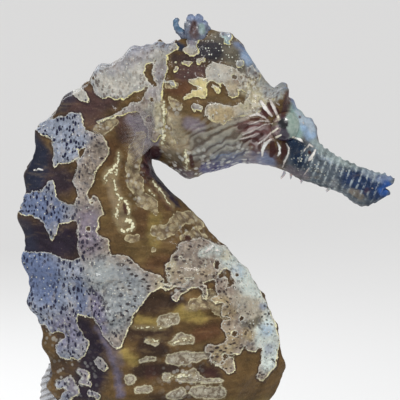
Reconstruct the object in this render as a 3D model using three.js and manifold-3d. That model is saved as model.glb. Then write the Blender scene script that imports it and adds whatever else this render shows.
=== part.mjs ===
// A life-size still model of a lined seahorse, swimming upright on a plain stand.
// Millimetres, +Z up, +X the way the animal faces, +Y its left side.
// The origin is the centre of the stand's underside.
//
// The body is one loft whose length is counted in rings: 0 is the gill edge, 1 to 11 are the
// rings of the trunk, 12 to 47 those of the tail, and negative numbers run forward through the
// head to the lips. Each section lies in a plane across the body, from a point of the belly line
// to a point of the back line. A girth of 0 is on the back's midline and 1 on the belly's.
import * as THREE from 'three';
import { mergeVertices } from 'three/addons/utils/BufferGeometryUtils.js';
import Module from 'manifold-3d';

// ---------------------------------------------------------------- driving dimensions

const THROAT = { x: -7.4, z: 96 }; // the notch of the throat; body points are measured from it
const GAP = 0.3; // clearance between neighbouring pieces

const LIPS = -8; // ring numbers of the body's ends, and of the cuts between its named lengths
const TAIL_START = 13;
const TAIL_TIP = 47;
const CUTS = {
  snout: -4.5, head: 0, neck: 3.1, trunk_upper: 7, trunk_lower: 12.4,
  tail_1: 18, tail_2: 24, tail_3: 30, tail_4: 36,
};
const LAST_LENGTH = 'tail_5';

// The corners of a half section at the girths 0, 0.2, 0.5, 0.8 and 1: crest, upper, side, lower
// and keel. y is a share of the half width and h a share of the depth, 0 belly to 1 back.
const CORNERS = { crest: 0, upper: 0.2, side: 0.5, lower: 0.8, keel: 1 };
const SECTIONS = {
  snout: { crest: 1, upper: [0.59, 0.9], side: 0.5, lower: [0.59, 0.1], round: 1 },
  face: { crest: 0.98, upper: [0.66, 0.9], side: 0.62, lower: [0.66, 0.16], round: 0.9 },
  crown: { crest: 1, upper: [0.4, 0.84], side: 0.42, lower: [0.7, 0.12], round: 0.95 },
  neck: { crest: 0.99, upper: [0.5, 0.97], side: 0.55, lower: [0.66, 0.16], round: 0.6 },
  trunk: { crest: 0.985, upper: [0.44, 1], side: 0.7, lower: [0.6, 0.2], round: 0.35 },
  tail: { crest: 0.97, upper: [0.86, 1], side: 0.5, lower: [0.82, 0.03], round: 0.25 },
};

// Where the outline or the width changes: the back and belly points and the half width.
const STATIONS = [
  { ring: -8, back: [32.3, -2.6], belly: [31.7, -4.7], half: 0.9, section: 'snout' },
  { ring: -7.5, back: [31.2, -2.1], belly: [30.3, -5.5], half: 1.6, section: 'snout' },
  { ring: -7, back: [30.0, -1.8], belly: [28.5, -6.3], half: 2.0, section: 'snout' },
  { ring: -6, back: [26.4, -0.5], belly: [25.1, -4.5], half: 1.95, section: 'snout' },
  { ring: -5, back: [23.5, 1.1], belly: [21.6, -3.3], half: 2.1, section: 'snout' },
  { ring: -4.4, back: [22.1, 2.3], belly: [19.3, -2.5], half: 2.4, section: 'snout' },
  { ring: -3.8, back: [20.7, 5.2], belly: [17.1, -1.3], half: 3.1, section: 'face' },
  { ring: -3.2, back: [18.7, 8.3], belly: [14.1, -0.6], half: 3.7, section: 'face' },
  { ring: -2.6, back: [16.7, 9.3], belly: [11.7, -0.5], half: 4.1, section: 'face' },
  { ring: -2, back: [14.7, 11.1], belly: [9.3, -1.3], half: 4.5, section: 'crown' },
  { ring: -1.5, back: [13.1, 13.6], belly: [7.1, -1.8], half: 4.9, section: 'crown' },
  { ring: -1.1, back: [11.5, 15.9], belly: [4.9, -2.6], half: 5.1, section: 'crown' },
  { ring: -0.7, back: [9.1, 17.0], belly: [3.2, -1.6], half: 5.2, section: 'crown' },
  { ring: -0.3, back: [6.4, 17.2], belly: [1.5, -0.4], half: 5.2, section: 'crown' },
  { ring: 0, back: [3.7, 15.9], belly: [0.2, 0], half: 5.0, section: 'crown' },
  { ring: 1, back: [-0.4, 15.1], belly: [0, -0.3], half: 4.8, section: 'neck' },
  { ring: 2, back: [-4.5, 13.1], belly: [0.1, -1.1], half: 4.9, section: 'neck' },
  { ring: 3, back: [-8.8, 10.0], belly: [0.8, -2.5], half: 5.2, section: 'neck' },
  { ring: 4, back: [-12.7, 6.0], belly: [2.5, -4.3], half: 5.8, section: 'trunk' },
  { ring: 5, back: [-15.2, 1.1], belly: [5.1, -6.7], half: 6.4, section: 'trunk' },
  { ring: 6, back: [-16.4, -4.4], belly: [8.1, -10.1], half: 7.0, section: 'trunk' },
  { ring: 8, back: [-15.9, -15.7], belly: [13.6, -16.5], half: 8.0, section: 'trunk' },
  { ring: 10, back: [-13.2, -27.1], belly: [17.1, -25.2], half: 7.8, section: 'trunk' },
  { ring: 10.6, back: [-12.7, -30.5], belly: [17.5, -28.8], half: 7.3, section: 'trunk' },
  { ring: 11, back: [-12.1, -32.7], belly: [16.0, -32.5], half: 6.8, section: 'trunk' },
  { ring: 11.5, back: [-11.3, -35.3], belly: [10.1, -35.9], half: 6.0, section: 'trunk' },
  { ring: 12, back: [-10.4, -37.7], belly: [3.7, -37.7], half: 5.0, section: 'tail' },
  { ring: 12.5, back: [-9.6, -39.9], belly: [0.6, -40.0], half: 4.4, section: 'tail' },
  { ring: 13, back: [-8.7, -42.0], belly: [-0.3, -42.3], half: 4.1, section: 'tail' },
];

// The tail hangs, bends forward and coils: two powers of the share of its length add its turn.
const TAIL = {
  start: [-4.5, -42.15], lean: 2, bend: 200, bendPower: 1.4, coil: 340, coilPower: 5,
  firstRing: 3.7, lastRing: 1.35, depth: [8.4, 1.1], half: [4.1, 0.6], taper: 1.1,
};

// How high the bony rings' edges, the lengthwise ridges and the knobs where they cross stand out.
const ARMOUR = {
  band: { height: 0.32, width: 0.16 }, ridge: 0.28, knobWidth: 0.24,
  knobs: { upper: 0.75, side: 0.7, lower: 0.4 }, spread: 0.06,
  smallKnob: 0.55, slant: 0.22, slantReach: 0.4, onTail: 0.6, onTip: 0.15,
};

const EYE = { x: 17.5, y: 2.75, z: 4.8, radius: 2.05 };
const FACE = { // the head's bumps
  orbit: { radius: 2.7, width: 0.6, height: 0.4 },
  browSpine: { ring: -3, width: 0.22, spread: 0.07, height: 2 },
  noseHump: { ring: -4, width: 0.28, spread: 0.16, height: 0.8 },
  gillCover: { x: 8.2, z: 4.6, width: 4.2, height: 0.55 },
  cheekKnob: { x: 4.7, z: 0.2, width: 0.9, height: 0.6 },
};
const MOUTH = { corner: [31.3, -3.95], upper: 47, lower: -32, reach: 2.5, width: 6 };

// The coronet: a low column and six knobbed horns on it, one astern, two pairs and one ahead.
// aim is the horn's bearing from dead astern, lift its rise from level, ball its knob's radius.
const CORONET = {
  x: 5.9, z: 15.7, radius: 1.6, height: 1.9, hornRadius: 0.62,
  horns: [
    { aim: 0, lift: 26, length: 3.1, ball: 0.66 },
    { aim: 66, lift: 66, length: 2.3, ball: 0.7 },
    { aim: -66, lift: 66, length: 2.3, ball: 0.7 },
    { aim: 116, lift: 66, length: 2.4, ball: 0.7 },
    { aim: -116, lift: 66, length: 2.4, ball: 0.7 },
    { aim: 180, lift: 42, length: 1.6, ball: 0.72 },
  ],
};

const DORSAL = { from: 10.1, to: 12.3, sweep: 0.7, rays: 18, length: 4.5, thick: 0.5 };
const PECTORAL = { ring: 0.75, girths: [0.57, 0.77], rays: 16, length: 4.6, flare: 26, fan: [34, -40], thick: 0.5 };
const ANAL = { from: 11.55, to: 11.85, rays: 4, length: 2.3, aims: [-62, -38], thick: 0.5 };
const FIN_LIFT = 0.45; // from the skin to a fin's root

const STAND = { radius: 27, height: 6, bevel: 1.2, bossRadius: 3.6, bossHeight: 1.5, socketDepth: 4 };
const ROD = { radius: 1.5, ring: 26.6, cradleRadius: 3.1, cradleDepth: 4.2 };

const COLOURS = {
  flesh: 0x6b5238, coronet: 0xa9a294, eye: 0x2a2019, fin: 0x9c8a6c, wood: 0x2c2320, steel: 0xb8babd, pad: 0x38393c,
};

// ---------------------------------------------------------------- small helpers

const lerp = (a, b, t) => a + (b - a) * t;
const bell = (distance, width) => Math.exp(-((distance / width) ** 2));
const radians = (degrees) => (degrees * Math.PI) / 180;
const up = new THREE.Vector3(0, 0, 1);
const left = new THREE.Vector3(0, 1, 0);

/** A smooth curve through knots [x, y], whose slope at a knot comes from its neighbours. */
function spline(knots) {
  const rise = (i) => (knots[i + 1][1] - knots[i][1]) / (knots[i + 1][0] - knots[i][0]);
  const slopes = knots.map(([x], i) => {
    if (i === 0) return rise(0);
    if (i === knots.length - 1) return rise(i - 1);
    const before = x - knots[i - 1][0];
    const after = knots[i + 1][0] - x;
    return (rise(i - 1) * after + rise(i) * before) / (before + after);
  });
  return (x) => {
    let i = 0;
    while (i < knots.length - 2 && x > knots[i + 1][0]) i += 1;
    const span = knots[i + 1][0] - knots[i][0];
    const t = (x - knots[i][0]) / span;
    const start = (1 + 2 * t) * (1 - t) ** 2 * knots[i][1] + t * (1 - t) ** 2 * span * slopes[i];
    const end = t * t * (3 - 2 * t) * knots[i + 1][1] + t * t * (t - 1) * span * slopes[i + 1];
    return start + end;
  };
}

// ---------------------------------------------------------------- the body's sections

const along = (read) => spline(STATIONS.map((station) => [station.ring, read(station)]));
const shape = (read) => along((station) => read(SECTIONS[station.section]));

const LINES = {
  back: [along((s) => s.back[0]), along((s) => s.back[1])],
  belly: [along((s) => s.belly[0]), along((s) => s.belly[1])],
  half: along((s) => s.half),
};
const SHAPES = {
  crest: [() => 0, shape((s) => s.crest)],
  upper: [shape((s) => s.upper[0]), shape((s) => s.upper[1])],
  side: [() => 1, shape((s) => s.side)],
  lower: [shape((s) => s.lower[0]), shape((s) => s.lower[1])],
  keel: [() => 0, () => 0],
};
const ROUNDNESS = shape((s) => s.round);

/** The tail's centre line and heading, walked in short steps from its start to its tip. */
function tailPath() {
  const steps = 1200;
  const rings = TAIL_TIP - TAIL_START;
  const total = (rings * (TAIL.firstRing + TAIL.lastRing)) / 2;
  const path = [];
  let [x, z] = TAIL.start;
  let walked = 0;
  for (let i = 0; i <= steps; i += 1) {
    const share = walked / total;
    const bend = TAIL.bend * share ** TAIL.bendPower;
    const turn = radians(TAIL.lean + bend + TAIL.coil * share ** TAIL.coilPower);
    path.push({ x, z, turn, share });
    const step = (lerp(TAIL.firstRing, TAIL.lastRing, (i + 0.5) / steps) * rings) / steps;
    x += Math.sin(turn) * step;
    z -= Math.cos(turn) * step;
    walked += step;
  }
  return path;
}
const TAIL_PATH = tailPath();

/** The section plane at a ring: its points on the belly and back lines and its half width. */
function sectionAt(ring) {
  if (ring <= TAIL_START) {
    const [belly, back] = [LINES.belly, LINES.back].map(([x, z]) => new THREE.Vector3(x(ring), 0, z(ring)));
    return { belly, back, half: LINES.half(ring) };
  }
  const share = (ring - TAIL_START) / (TAIL_TIP - TAIL_START);
  const spot = TAIL_PATH[Math.min(Math.round(share * (TAIL_PATH.length - 1)), TAIL_PATH.length - 1)];
  const slim = (1 - spot.share) ** TAIL.taper;
  const reach = lerp(TAIL.depth[1], TAIL.depth[0], slim) / 2;
  const centre = new THREE.Vector3(spot.x, 0, spot.z);
  const forward = new THREE.Vector3(Math.cos(spot.turn), 0, Math.sin(spot.turn)).multiplyScalar(reach);
  return {
    belly: centre.clone().add(forward),
    back: centre.clone().sub(forward),
    half: lerp(TAIL.half[1], TAIL.half[0], slim),
  };
}

/** A half section's [y, h] at a girth: its corners joined by straight sides, rounded by a spline. */
function sectionShape(ring, girth) {
  const at = Math.min(ring, TAIL_START);
  const corners = Object.keys(CORNERS).map((name) => [CORNERS[name], SHAPES[name][0](at), SHAPES[name][1](at)]);
  const beyondCrest = [-CORNERS.upper, -corners[1][1], corners[1][2]];
  const beyondKeel = [2 - CORNERS.lower, -corners[3][1], corners[3][2]];
  const knots = [beyondCrest, ...corners, beyondKeel];
  const i = Math.max(1, corners.findIndex(([corner]) => girth <= corner));
  const t = (girth - corners[i - 1][0]) / (corners[i][0] - corners[i - 1][0]);
  return [1, 2].map((k) => {
    const straight = lerp(corners[i - 1][k], corners[i][k], t);
    const smooth = spline(knots.map((knot) => [knot[0], knot[k]]))(girth);
    return lerp(straight, smooth, ROUNDNESS(at));
  });
}

/** How far the bony rings stand out at a ring number and a girth. */
function armour(ring, girth) {
  if (ring <= 0) return 0;
  const { band, ridge, knobs, knobWidth, spread, smallKnob, slant, slantReach, onTail, onTip } = ARMOUR;
  const shifted = ring - slant * Math.max(0, 1 - Math.abs(girth - CORNERS.side) / slantReach);
  const number = Math.floor(shifted);
  const offBand = shifted - number - 0.5;
  const size = number % 2 === 0 ? 1 : smallKnob;
  const tail = Math.min(1, Math.max(0, (ring - 11) / 3));
  const ridges = Object.keys(knobs).reduce((sum, name) => {
    const sharp = bell(girth - CORNERS[name], spread);
    const height = sharp * (ridge + knobs[name] * size * bell(offBand, knobWidth));
    return sum + height * (name === 'side' ? 1 - tail : 1);
  }, 0);
  const fade = Math.min(1, ring * 2) * (ring < 13 ? 1 : lerp(1, onTip, (ring - 13) / (TAIL_TIP - 13)));
  return (band.height * bell(offBand, band.width) + ridges) * fade * lerp(1, onTail, tail);
}

/** How far the head's bumps stand out at a ring number, a girth and a place in the side view. */
function faceBumps(ring, girth, x, z) {
  if (ring > 0.5) return 0;
  const { orbit, browSpine, noseHump, gillCover, cheekKnob } = FACE;
  const round = (bump) => bump.height * bell(Math.hypot(x - bump.x, z - bump.z), bump.width);
  const eyeRim = orbit.height * bell(Math.hypot(x - EYE.x, z - EYE.z) - orbit.radius, orbit.width);
  const spine = browSpine.height * bell(ring - browSpine.ring, browSpine.width)
    * bell(girth - CORNERS.upper, browSpine.spread);
  const hump = noseHump.height * bell(ring - noseHump.ring, noseHump.width) * bell(girth, noseHump.spread);
  return eyeRim + spine + hump + round(gillCover) + round(cheekKnob);
}

/** A point of the surface at a ring and a girth, on one side, lifted off it by a clearance. */
function surfacePoint(ring, girth, side, lift = 0) {
  const { belly, back, half } = sectionAt(ring);
  const place = (g) => {
    const [y, h] = sectionShape(ring, g < 0 ? -g : Math.min(g, 2 - g));
    const flip = g < 0 || g > 1 ? -1 : 1;
    return belly.clone().lerp(back, h).addScaledVector(left, flip * y * half);
  };
  const point = place(girth);
  const step = 0.03;
  const tangent = place(girth + step).sub(place(girth - step)).normalize();
  const rise = back.clone().sub(belly).normalize();
  const outward = rise.clone().multiplyScalar(tangent.dot(left)).addScaledVector(left, -tangent.dot(rise));
  const relief = armour(ring, girth) + faceBumps(ring, girth, point.x, point.z);
  point.addScaledVector(outward, relief + lift);
  point.y *= side;
  return point;
}

// ---------------------------------------------------------------- closed skins and solids

/** Joins loops of points into one closed surface, with a fan of triangles over each end. */
function skinOver(loops) {
  const count = loops[0].length;
  const middle = (loop) => loop.reduce((sum, p) => sum.add(p), new THREE.Vector3()).divideScalar(count);
  const points = [...loops.flat(), middle(loops[0]), middle(loops.at(-1))];
  const index = [];
  for (let row = 0; row < loops.length - 1; row += 1) {
    for (let k = 0; k < count; k += 1) {
      const a = row * count + k;
      const b = row * count + ((k + 1) % count);
      index.push(a, a + count, b, b, a + count, b + count);
    }
  }
  const last = (loops.length - 1) * count;
  for (let k = 0; k < count; k += 1) {
    const next = (k + 1) % count;
    index.push(points.length - 2, k, next, points.length - 1, last + next, last + k);
  }
  const geometry = new THREE.BufferGeometry();
  geometry.setAttribute('position', new THREE.Float32BufferAttribute(points.flatMap((p) => p.toArray()), 3));
  geometry.setIndex(enclosedVolume(points, index) < 0 ? index.reverse() : index);
  return geometry;
}

function enclosedVolume(points, index) {
  let sum = 0;
  for (let i = 0; i < index.length; i += 3) {
    const [a, b, c] = index.slice(i, i + 3).map((k) => points[k]);
    sum += a.dot(b.clone().cross(c)) / 6;
  }
  return sum;
}

const wasm = await Module();
wasm.setup();

function toSolid(geometry) {
  const bare = geometry.clone();
  bare.deleteAttribute('normal');
  bare.deleteAttribute('uv');
  const merged = mergeVertices(bare, 1e-4);
  return new wasm.Manifold(new wasm.Mesh({
    numProp: 3,
    vertProperties: new Float32Array(merged.attributes.position.array),
    triVerts: new Uint32Array(merged.index.array),
  }));
}

function toGeometry(solid) {
  const mesh = solid.getMesh();
  const geometry = new THREE.BufferGeometry();
  geometry.setAttribute('position', new THREE.Float32BufferAttribute(mesh.vertProperties, 3));
  geometry.setIndex(new THREE.Uint32BufferAttribute(mesh.triVerts, 1));
  return geometry;
}

/** A turned shape about the upright axis, from its profile of [radius, height]. */
function lathe(profile, segments) {
  const points = profile.map(([radius, height]) => new THREE.Vector2(radius, height));
  return new THREE.LatheGeometry(points, segments).rotateX(Math.PI / 2);
}

/** The piece of a cut solid that holds a point. */
function pieceAt(pieces, point) {
  const speck = new THREE.OctahedronGeometry(0.1);
  speck.translate(...point.toArray());
  const probe = toSolid(speck);
  return pieces.find((piece) => piece.intersect(probe).volume() > 0);
}

// ---------------------------------------------------------------- the body, cut into its lengths

const GIRTHS = [0, 0.1, 0.2, 0.35, 0.5, 0.65, 0.8, 0.9, 1];
const ROW_STEPS = [{ to: TAIL_START, step: 0.25 }, { to: CUTS.tail_4, step: 0.5 }, { to: TAIL_TIP, step: 1 }];

function bodySolid(lift = 0) {
  const rings = [LIPS];
  ROW_STEPS.forEach(({ to, step }) => {
    while (rings.at(-1) < to) rings.push(rings.at(-1) + step);
  });
  return toSolid(skinOver(rings.map((ring) => [
    ...GIRTHS.map((girth) => surfacePoint(ring, girth, -1, lift)),
    ...GIRTHS.slice(1, -1).reverse().map((girth) => surfacePoint(ring, girth, 1, lift)),
  ])));
}

/** A thin slab in the section plane at a ring, for parting the body there. */
function partingSlab(ring) {
  const { belly, back, half } = sectionAt(ring);
  const past = { back: 2, belly: 0.7, side: 2 };
  const rise = back.clone().sub(belly);
  const slab = new THREE.BoxGeometry(GAP, 2 * (half + past.side), rise.length() + past.back + past.belly);
  slab.translate(0, 0, (past.back - past.belly) / 2);
  rise.normalize();
  const pose = new THREE.Matrix4().makeBasis(left.clone().cross(rise), left, rise);
  pose.setPosition(belly.clone().lerp(back, 0.5));
  return toSolid(slab.applyMatrix4(pose));
}

/** The wedge that opens the mouth, from its corner to the two lips. */
function mouthWedge() {
  const { corner, upper, lower, reach, width } = MOUTH;
  const rim = [upper, lower].map((angle) => (
    [corner[0] + reach * Math.cos(radians(angle)), corner[1] + reach * Math.sin(radians(angle))]
  ));
  const outline = new THREE.Shape([corner, ...rim].map(([x, z]) => new THREE.Vector2(x, z)));
  const wedge = new THREE.ExtrudeGeometry(outline, { depth: width, bevelEnabled: false });
  return toSolid(wedge.rotateX(Math.PI / 2).translate(0, width / 2, 0));
}

function bodyLengths() {
  const sockets = [-1, 1].map((side) => toSolid(eyeball(side, EYE.radius + GAP)));
  const slabs = Object.values(CUTS).map(partingSlab);
  const pieces = [...sockets, mouthWedge(), ...slabs]
    .reduce((body, tool) => body.subtract(tool), bodySolid()).decompose();
  const ends = [LIPS, ...Object.values(CUTS), TAIL_TIP];
  return [...Object.keys(CUTS), LAST_LENGTH].map((name, i) => {
    const { belly, back } = sectionAt((ends[i] + ends[i + 1]) / 2);
    return [name, pieceAt(pieces, belly.lerp(back, 0.5))];
  });
}

// ---------------------------------------------------------------- eyes, coronet and fins

function eyeball(side, radius = EYE.radius) {
  const ball = new THREE.SphereGeometry(radius, 16, 10);
  return ball.translate(EYE.x, side * EYE.y, EYE.z);
}

/** The crown on the head: a low column that narrows upward, and its knobbed horns. */
function coronet() {
  const { x, z, radius, height, hornRadius, horns } = CORONET;
  const column = toSolid(lathe([[0, 0], [radius, 0], [radius * 0.85, height], [0, height]], 16));
  const whole = horns.reduce((body, { aim, lift, length, ball }) => {
    const horn = toSolid(lathe([
      [0, 0], [hornRadius, 0], [hornRadius * 0.8, length - 1.2 * ball], [ball, length - 0.5 * ball],
      [ball * 0.8, length + 0.3 * ball], [0, length + 0.6 * ball],
    ], 8).rotateY(radians(lift - 90)).rotateZ(radians(aim)));
    return body.add(horn.translate([0, 0, height * 0.6]));
  }, column);
  return whole.translate([x, 0, z]);
}

/** A fan of rays with a thinner web between them; a ray runs from root(t) to tip(t), t 0 to 1. */
function fin({ root, tip, facing, rays, thick }) {
  const columns = 2 * rays - 1;
  const rows = 3;
  return skinOver(Array.from({ length: columns }, (_, c) => {
    const t = c / (columns - 1);
    const isRay = c % 2 === 0;
    const reach = isRay ? 1 : 0.95;
    const depth = isRay ? thick * 1.25 : thick;
    const line = Array.from({ length: rows + 1 }, (__, r) => root(t).lerp(tip(t), (reach * r) / rows));
    const shifted = (sign) => line.map((p) => p.clone().addScaledVector(facing, (sign * depth) / 2));
    return [...shifted(1), ...shifted(-1).reverse()];
  }));
}

function dorsalFin() {
  const { from, to, sweep, length } = DORSAL;
  const height = (t) => FIN_LIFT + length * Math.sin(Math.PI * (0.06 + 0.6 * t));
  const root = (t) => surfacePoint(lerp(from, to, t), 0, -1, FIN_LIFT);
  const tip = (t) => surfacePoint(lerp(from, to + sweep, t), 0, -1, height(t));
  return fin({ ...DORSAL, root, tip, facing: left });
}

function analFin() {
  const { from, to, length, aims } = ANAL;
  const root = (t) => surfacePoint(lerp(from, to, t), 1, -1, FIN_LIFT);
  const tip = (t) => {
    const aim = radians(lerp(...aims, t));
    return root(t).add(new THREE.Vector3(Math.cos(aim), 0, Math.sin(aim)).multiplyScalar(length));
  };
  return fin({ ...ANAL, root, tip, facing: left });
}

/** A side fin: an upright root behind the gill cover, and rays that fan backward and out. */
function pectoralFin(side) {
  const { ring, girths, length, flare, fan } = PECTORAL;
  const outward = left.clone().multiplyScalar(side);
  const back = new THREE.Vector3(-Math.cos(radians(flare)), 0, 0).addScaledVector(outward, Math.sin(radians(flare)));
  const facing = outward.clone().multiplyScalar(Math.cos(radians(flare)));
  facing.x = Math.sin(radians(flare));
  const root = (t) => surfacePoint(ring, lerp(...girths, t), side, FIN_LIFT);
  const tip = (t) => {
    const swing = radians(lerp(...fan, t));
    const reach = length * (0.84 + 0.16 * Math.sin(Math.PI * t));
    return root(t).addScaledVector(back, reach * Math.cos(swing)).addScaledVector(up, reach * Math.sin(swing));
  };
  return fin({ ...PECTORAL, root, tip, facing });
}

// ---------------------------------------------------------------- the stand

const inPlace = new THREE.Vector3(THROAT.x, 0, THROAT.z);
const rodTop = sectionAt(ROD.ring).back.clone().add(inPlace);

function standBase() {
  const { radius, height, bevel, bossRadius, bossHeight, socketDepth } = STAND;
  const disc = lathe([[0, 0], [radius, 0], [radius, height - bevel], [radius - bevel, height], [0, height]], 48);
  const boss = lathe([[0, 1], [bossRadius, 1], [bossRadius * 0.8, height + bossHeight], [0, height + bossHeight]], 32);
  const hole = new THREE.CylinderGeometry(ROD.radius + GAP, ROD.radius + GAP, socketDepth, 20).rotateX(Math.PI / 2);
  const bossPlace = [rodTop.x, 0, 0];
  hole.translate(rodTop.x, 0, height + bossHeight - socketDepth / 2 + 0.01);
  return toSolid(disc).add(toSolid(boss.translate(...bossPlace))).subtract(toSolid(hole));
}

function standRod() {
  const { height, bossHeight, socketDepth } = STAND;
  const bottom = height + bossHeight - socketDepth + GAP;
  const top = rodTop.z - ROD.cradleDepth + 1.2;
  return lathe([[0, bottom], [ROD.radius, bottom], [ROD.radius, top], [0, top]], 20).translate(rodTop.x, 0, 0);
}

/** The cradle on the rod: a flared cup, hollowed to the tail that lies in it. */
function standCradle(tailRoom) {
  const { radius, cradleRadius, cradleDepth } = ROD;
  const bottom = rodTop.z - cradleDepth;
  const cup = lathe([
    [0, bottom], [radius + 0.9, bottom], [radius + 1, bottom + 1.6], [cradleRadius, bottom + 3],
    [cradleRadius, rodTop.z + 1.1], [0, rodTop.z + 1.1],
  ], 20);
  const hole = new THREE.CylinderGeometry(radius + GAP, radius + GAP, 3, 20).rotateX(Math.PI / 2);
  hole.translate(0, 0, bottom);
  const pieces = toSolid(cup).subtract(toSolid(hole)).translate([rodTop.x, 0, 0]).subtract(tailRoom).decompose();
  return pieces.reduce((lowest, piece) => (
    piece.boundingBox().min[2] < lowest.boundingBox().min[2] ? piece : lowest
  ));
}

// ---------------------------------------------------------------- the assembly

const model = new THREE.Group();
const animal = new THREE.Group();
animal.position.copy(inPlace);
model.add(animal);

function addMesh(group, name, geometry, color, roughness = 0.45, metalness = 0) {
  const mesh = new THREE.Mesh(geometry, new THREE.MeshStandardMaterial({ color, roughness, metalness }));
  mesh.name = name;
  group.add(mesh);
}

const room = bodySolid(GAP);

bodyLengths().forEach(([name, solid]) => addMesh(animal, name, toGeometry(solid), COLOURS.flesh));
addMesh(animal, 'coronet', toGeometry(coronet().subtract(room)), COLOURS.coronet);
addMesh(animal, 'eye_right', eyeball(-1), COLOURS.eye, 0.08);
addMesh(animal, 'eye_left', eyeball(1), COLOURS.eye, 0.08);
addMesh(animal, 'dorsal_fin', dorsalFin(), COLOURS.fin);
addMesh(animal, 'anal_fin', analFin(), COLOURS.fin);
addMesh(animal, 'pectoral_fin_right', pectoralFin(-1), COLOURS.fin);
addMesh(animal, 'pectoral_fin_left', pectoralFin(1), COLOURS.fin);
addMesh(model, 'stand_base', toGeometry(standBase()), COLOURS.wood, 0.35);
addMesh(model, 'stand_rod', standRod(), COLOURS.steel, 0.25, 1);
addMesh(model, 'stand_cradle', toGeometry(standCradle(room.translate(inPlace.toArray()))), COLOURS.pad, 0.6);

export default model;
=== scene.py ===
"""The looks of a life-size lined seahorse on its stand.

One skin covers the body's lengths; the eyes, the coronet, the fins and the stand are pieces of
their own. The body is a loft counted in rings, as in the solids: 0 is the gill edge, 13 the start
of the tail, 47 its tip, and negative numbers run forward to the lips. A girth of 0 is on the
back's midline and 1 on the belly's; from 1 to 2 it comes back up the left side. Body points are
in millimetres from the notch of the throat, x forward and z up, and a mesh is made in metres.
"""

import bpy
import numpy as np
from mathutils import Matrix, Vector


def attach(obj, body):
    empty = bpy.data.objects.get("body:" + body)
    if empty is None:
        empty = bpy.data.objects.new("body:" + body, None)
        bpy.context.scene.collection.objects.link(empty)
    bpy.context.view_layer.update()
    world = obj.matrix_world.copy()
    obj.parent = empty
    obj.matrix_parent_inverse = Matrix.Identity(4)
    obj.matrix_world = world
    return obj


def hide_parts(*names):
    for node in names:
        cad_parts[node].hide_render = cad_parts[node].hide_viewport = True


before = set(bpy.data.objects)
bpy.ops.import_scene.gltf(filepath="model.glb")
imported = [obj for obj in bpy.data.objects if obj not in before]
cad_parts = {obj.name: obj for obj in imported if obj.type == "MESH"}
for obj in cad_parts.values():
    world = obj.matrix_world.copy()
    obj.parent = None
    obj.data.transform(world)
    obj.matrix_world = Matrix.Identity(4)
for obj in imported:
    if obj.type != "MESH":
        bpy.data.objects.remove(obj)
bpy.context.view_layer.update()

MM = 0.001
THROAT = np.array([-7.4, 0.0, 96.0])

# ---------------- the body's driving sizes

LIPS, TAIL_START, TAIL_TIP = -8.0, 13.0, 47.0
CORNERS = {"crest": 0.0, "upper": 0.2, "side": 0.5, "lower": 0.8, "keel": 1.0}
SECTIONS = {
    "snout": dict(crest=1, upper=(0.59, 0.9), side=0.5, lower=(0.59, 0.1), round=1),
    "face": dict(crest=0.98, upper=(0.66, 0.9), side=0.62, lower=(0.66, 0.16), round=0.9),
    "crown": dict(crest=1, upper=(0.4, 0.84), side=0.42, lower=(0.7, 0.12), round=0.95),
    "neck": dict(crest=0.99, upper=(0.5, 0.97), side=0.55, lower=(0.66, 0.16), round=0.6),
    "trunk": dict(crest=0.985, upper=(0.44, 1), side=0.7, lower=(0.6, 0.2), round=0.35),
    "tail": dict(crest=0.97, upper=(0.86, 1), side=0.5, lower=(0.82, 0.03), round=0.25),
}
# ring, back point, belly point, half width, section
STATIONS = [
    (-8, (32.3, -2.6), (31.7, -4.7), 0.9, "snout"),
    (-7.5, (31.2, -2.1), (30.3, -5.5), 1.6, "snout"),
    (-7, (30.0, -1.8), (28.5, -6.3), 2.0, "snout"),
    (-6, (26.4, -0.5), (25.1, -4.5), 1.95, "snout"),
    (-5, (23.5, 1.1), (21.6, -3.3), 2.1, "snout"),
    (-4.4, (22.1, 2.3), (19.3, -2.5), 2.4, "snout"),
    (-3.8, (20.7, 5.2), (17.1, -1.3), 3.1, "face"),
    (-3.2, (18.7, 8.3), (14.1, -0.6), 3.7, "face"),
    (-2.6, (16.7, 9.3), (11.7, -0.5), 4.1, "face"),
    (-2, (14.7, 11.1), (9.3, -1.3), 4.5, "crown"),
    (-1.5, (13.1, 13.6), (7.1, -1.8), 4.9, "crown"),
    (-1.1, (11.5, 15.9), (4.9, -2.6), 5.1, "crown"),
    (-0.7, (9.1, 17.0), (3.2, -1.6), 5.2, "crown"),
    (-0.3, (6.4, 17.2), (1.5, -0.4), 5.2, "crown"),
    (0, (3.7, 15.9), (0.2, 0.0), 5.0, "crown"),
    (1, (-0.4, 15.1), (0.0, -0.3), 4.8, "neck"),
    (2, (-4.5, 13.1), (0.1, -1.1), 4.9, "neck"),
    (3, (-8.8, 10.0), (0.8, -2.5), 5.2, "neck"),
    (4, (-12.7, 6.0), (2.5, -4.3), 5.8, "trunk"),
    (5, (-15.2, 1.1), (5.1, -6.7), 6.4, "trunk"),
    (6, (-16.4, -4.4), (8.1, -10.1), 7.0, "trunk"),
    (8, (-15.9, -15.7), (13.6, -16.5), 8.0, "trunk"),
    (10, (-13.2, -27.1), (17.1, -25.2), 7.8, "trunk"),
    (10.6, (-12.7, -30.5), (17.5, -28.8), 7.3, "trunk"),
    (11, (-12.1, -32.7), (16.0, -32.5), 6.8, "trunk"),
    (11.5, (-11.3, -35.3), (10.1, -35.9), 6.0, "trunk"),
    (12, (-10.4, -37.7), (3.7, -37.7), 5.0, "tail"),
    (12.5, (-9.6, -39.9), (0.6, -40.0), 4.4, "tail"),
    (13, (-8.7, -42.0), (-0.3, -42.3), 4.1, "tail"),
]
TAIL = dict(
    start=(-4.5, -42.15), lean=2, bend=200, bend_power=1.4, coil=340, coil_power=5, steps=1200,
    first_ring=3.7, last_ring=1.35, depth=(8.4, 1.1), half=(4.1, 0.6), taper=1.1,
)
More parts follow.
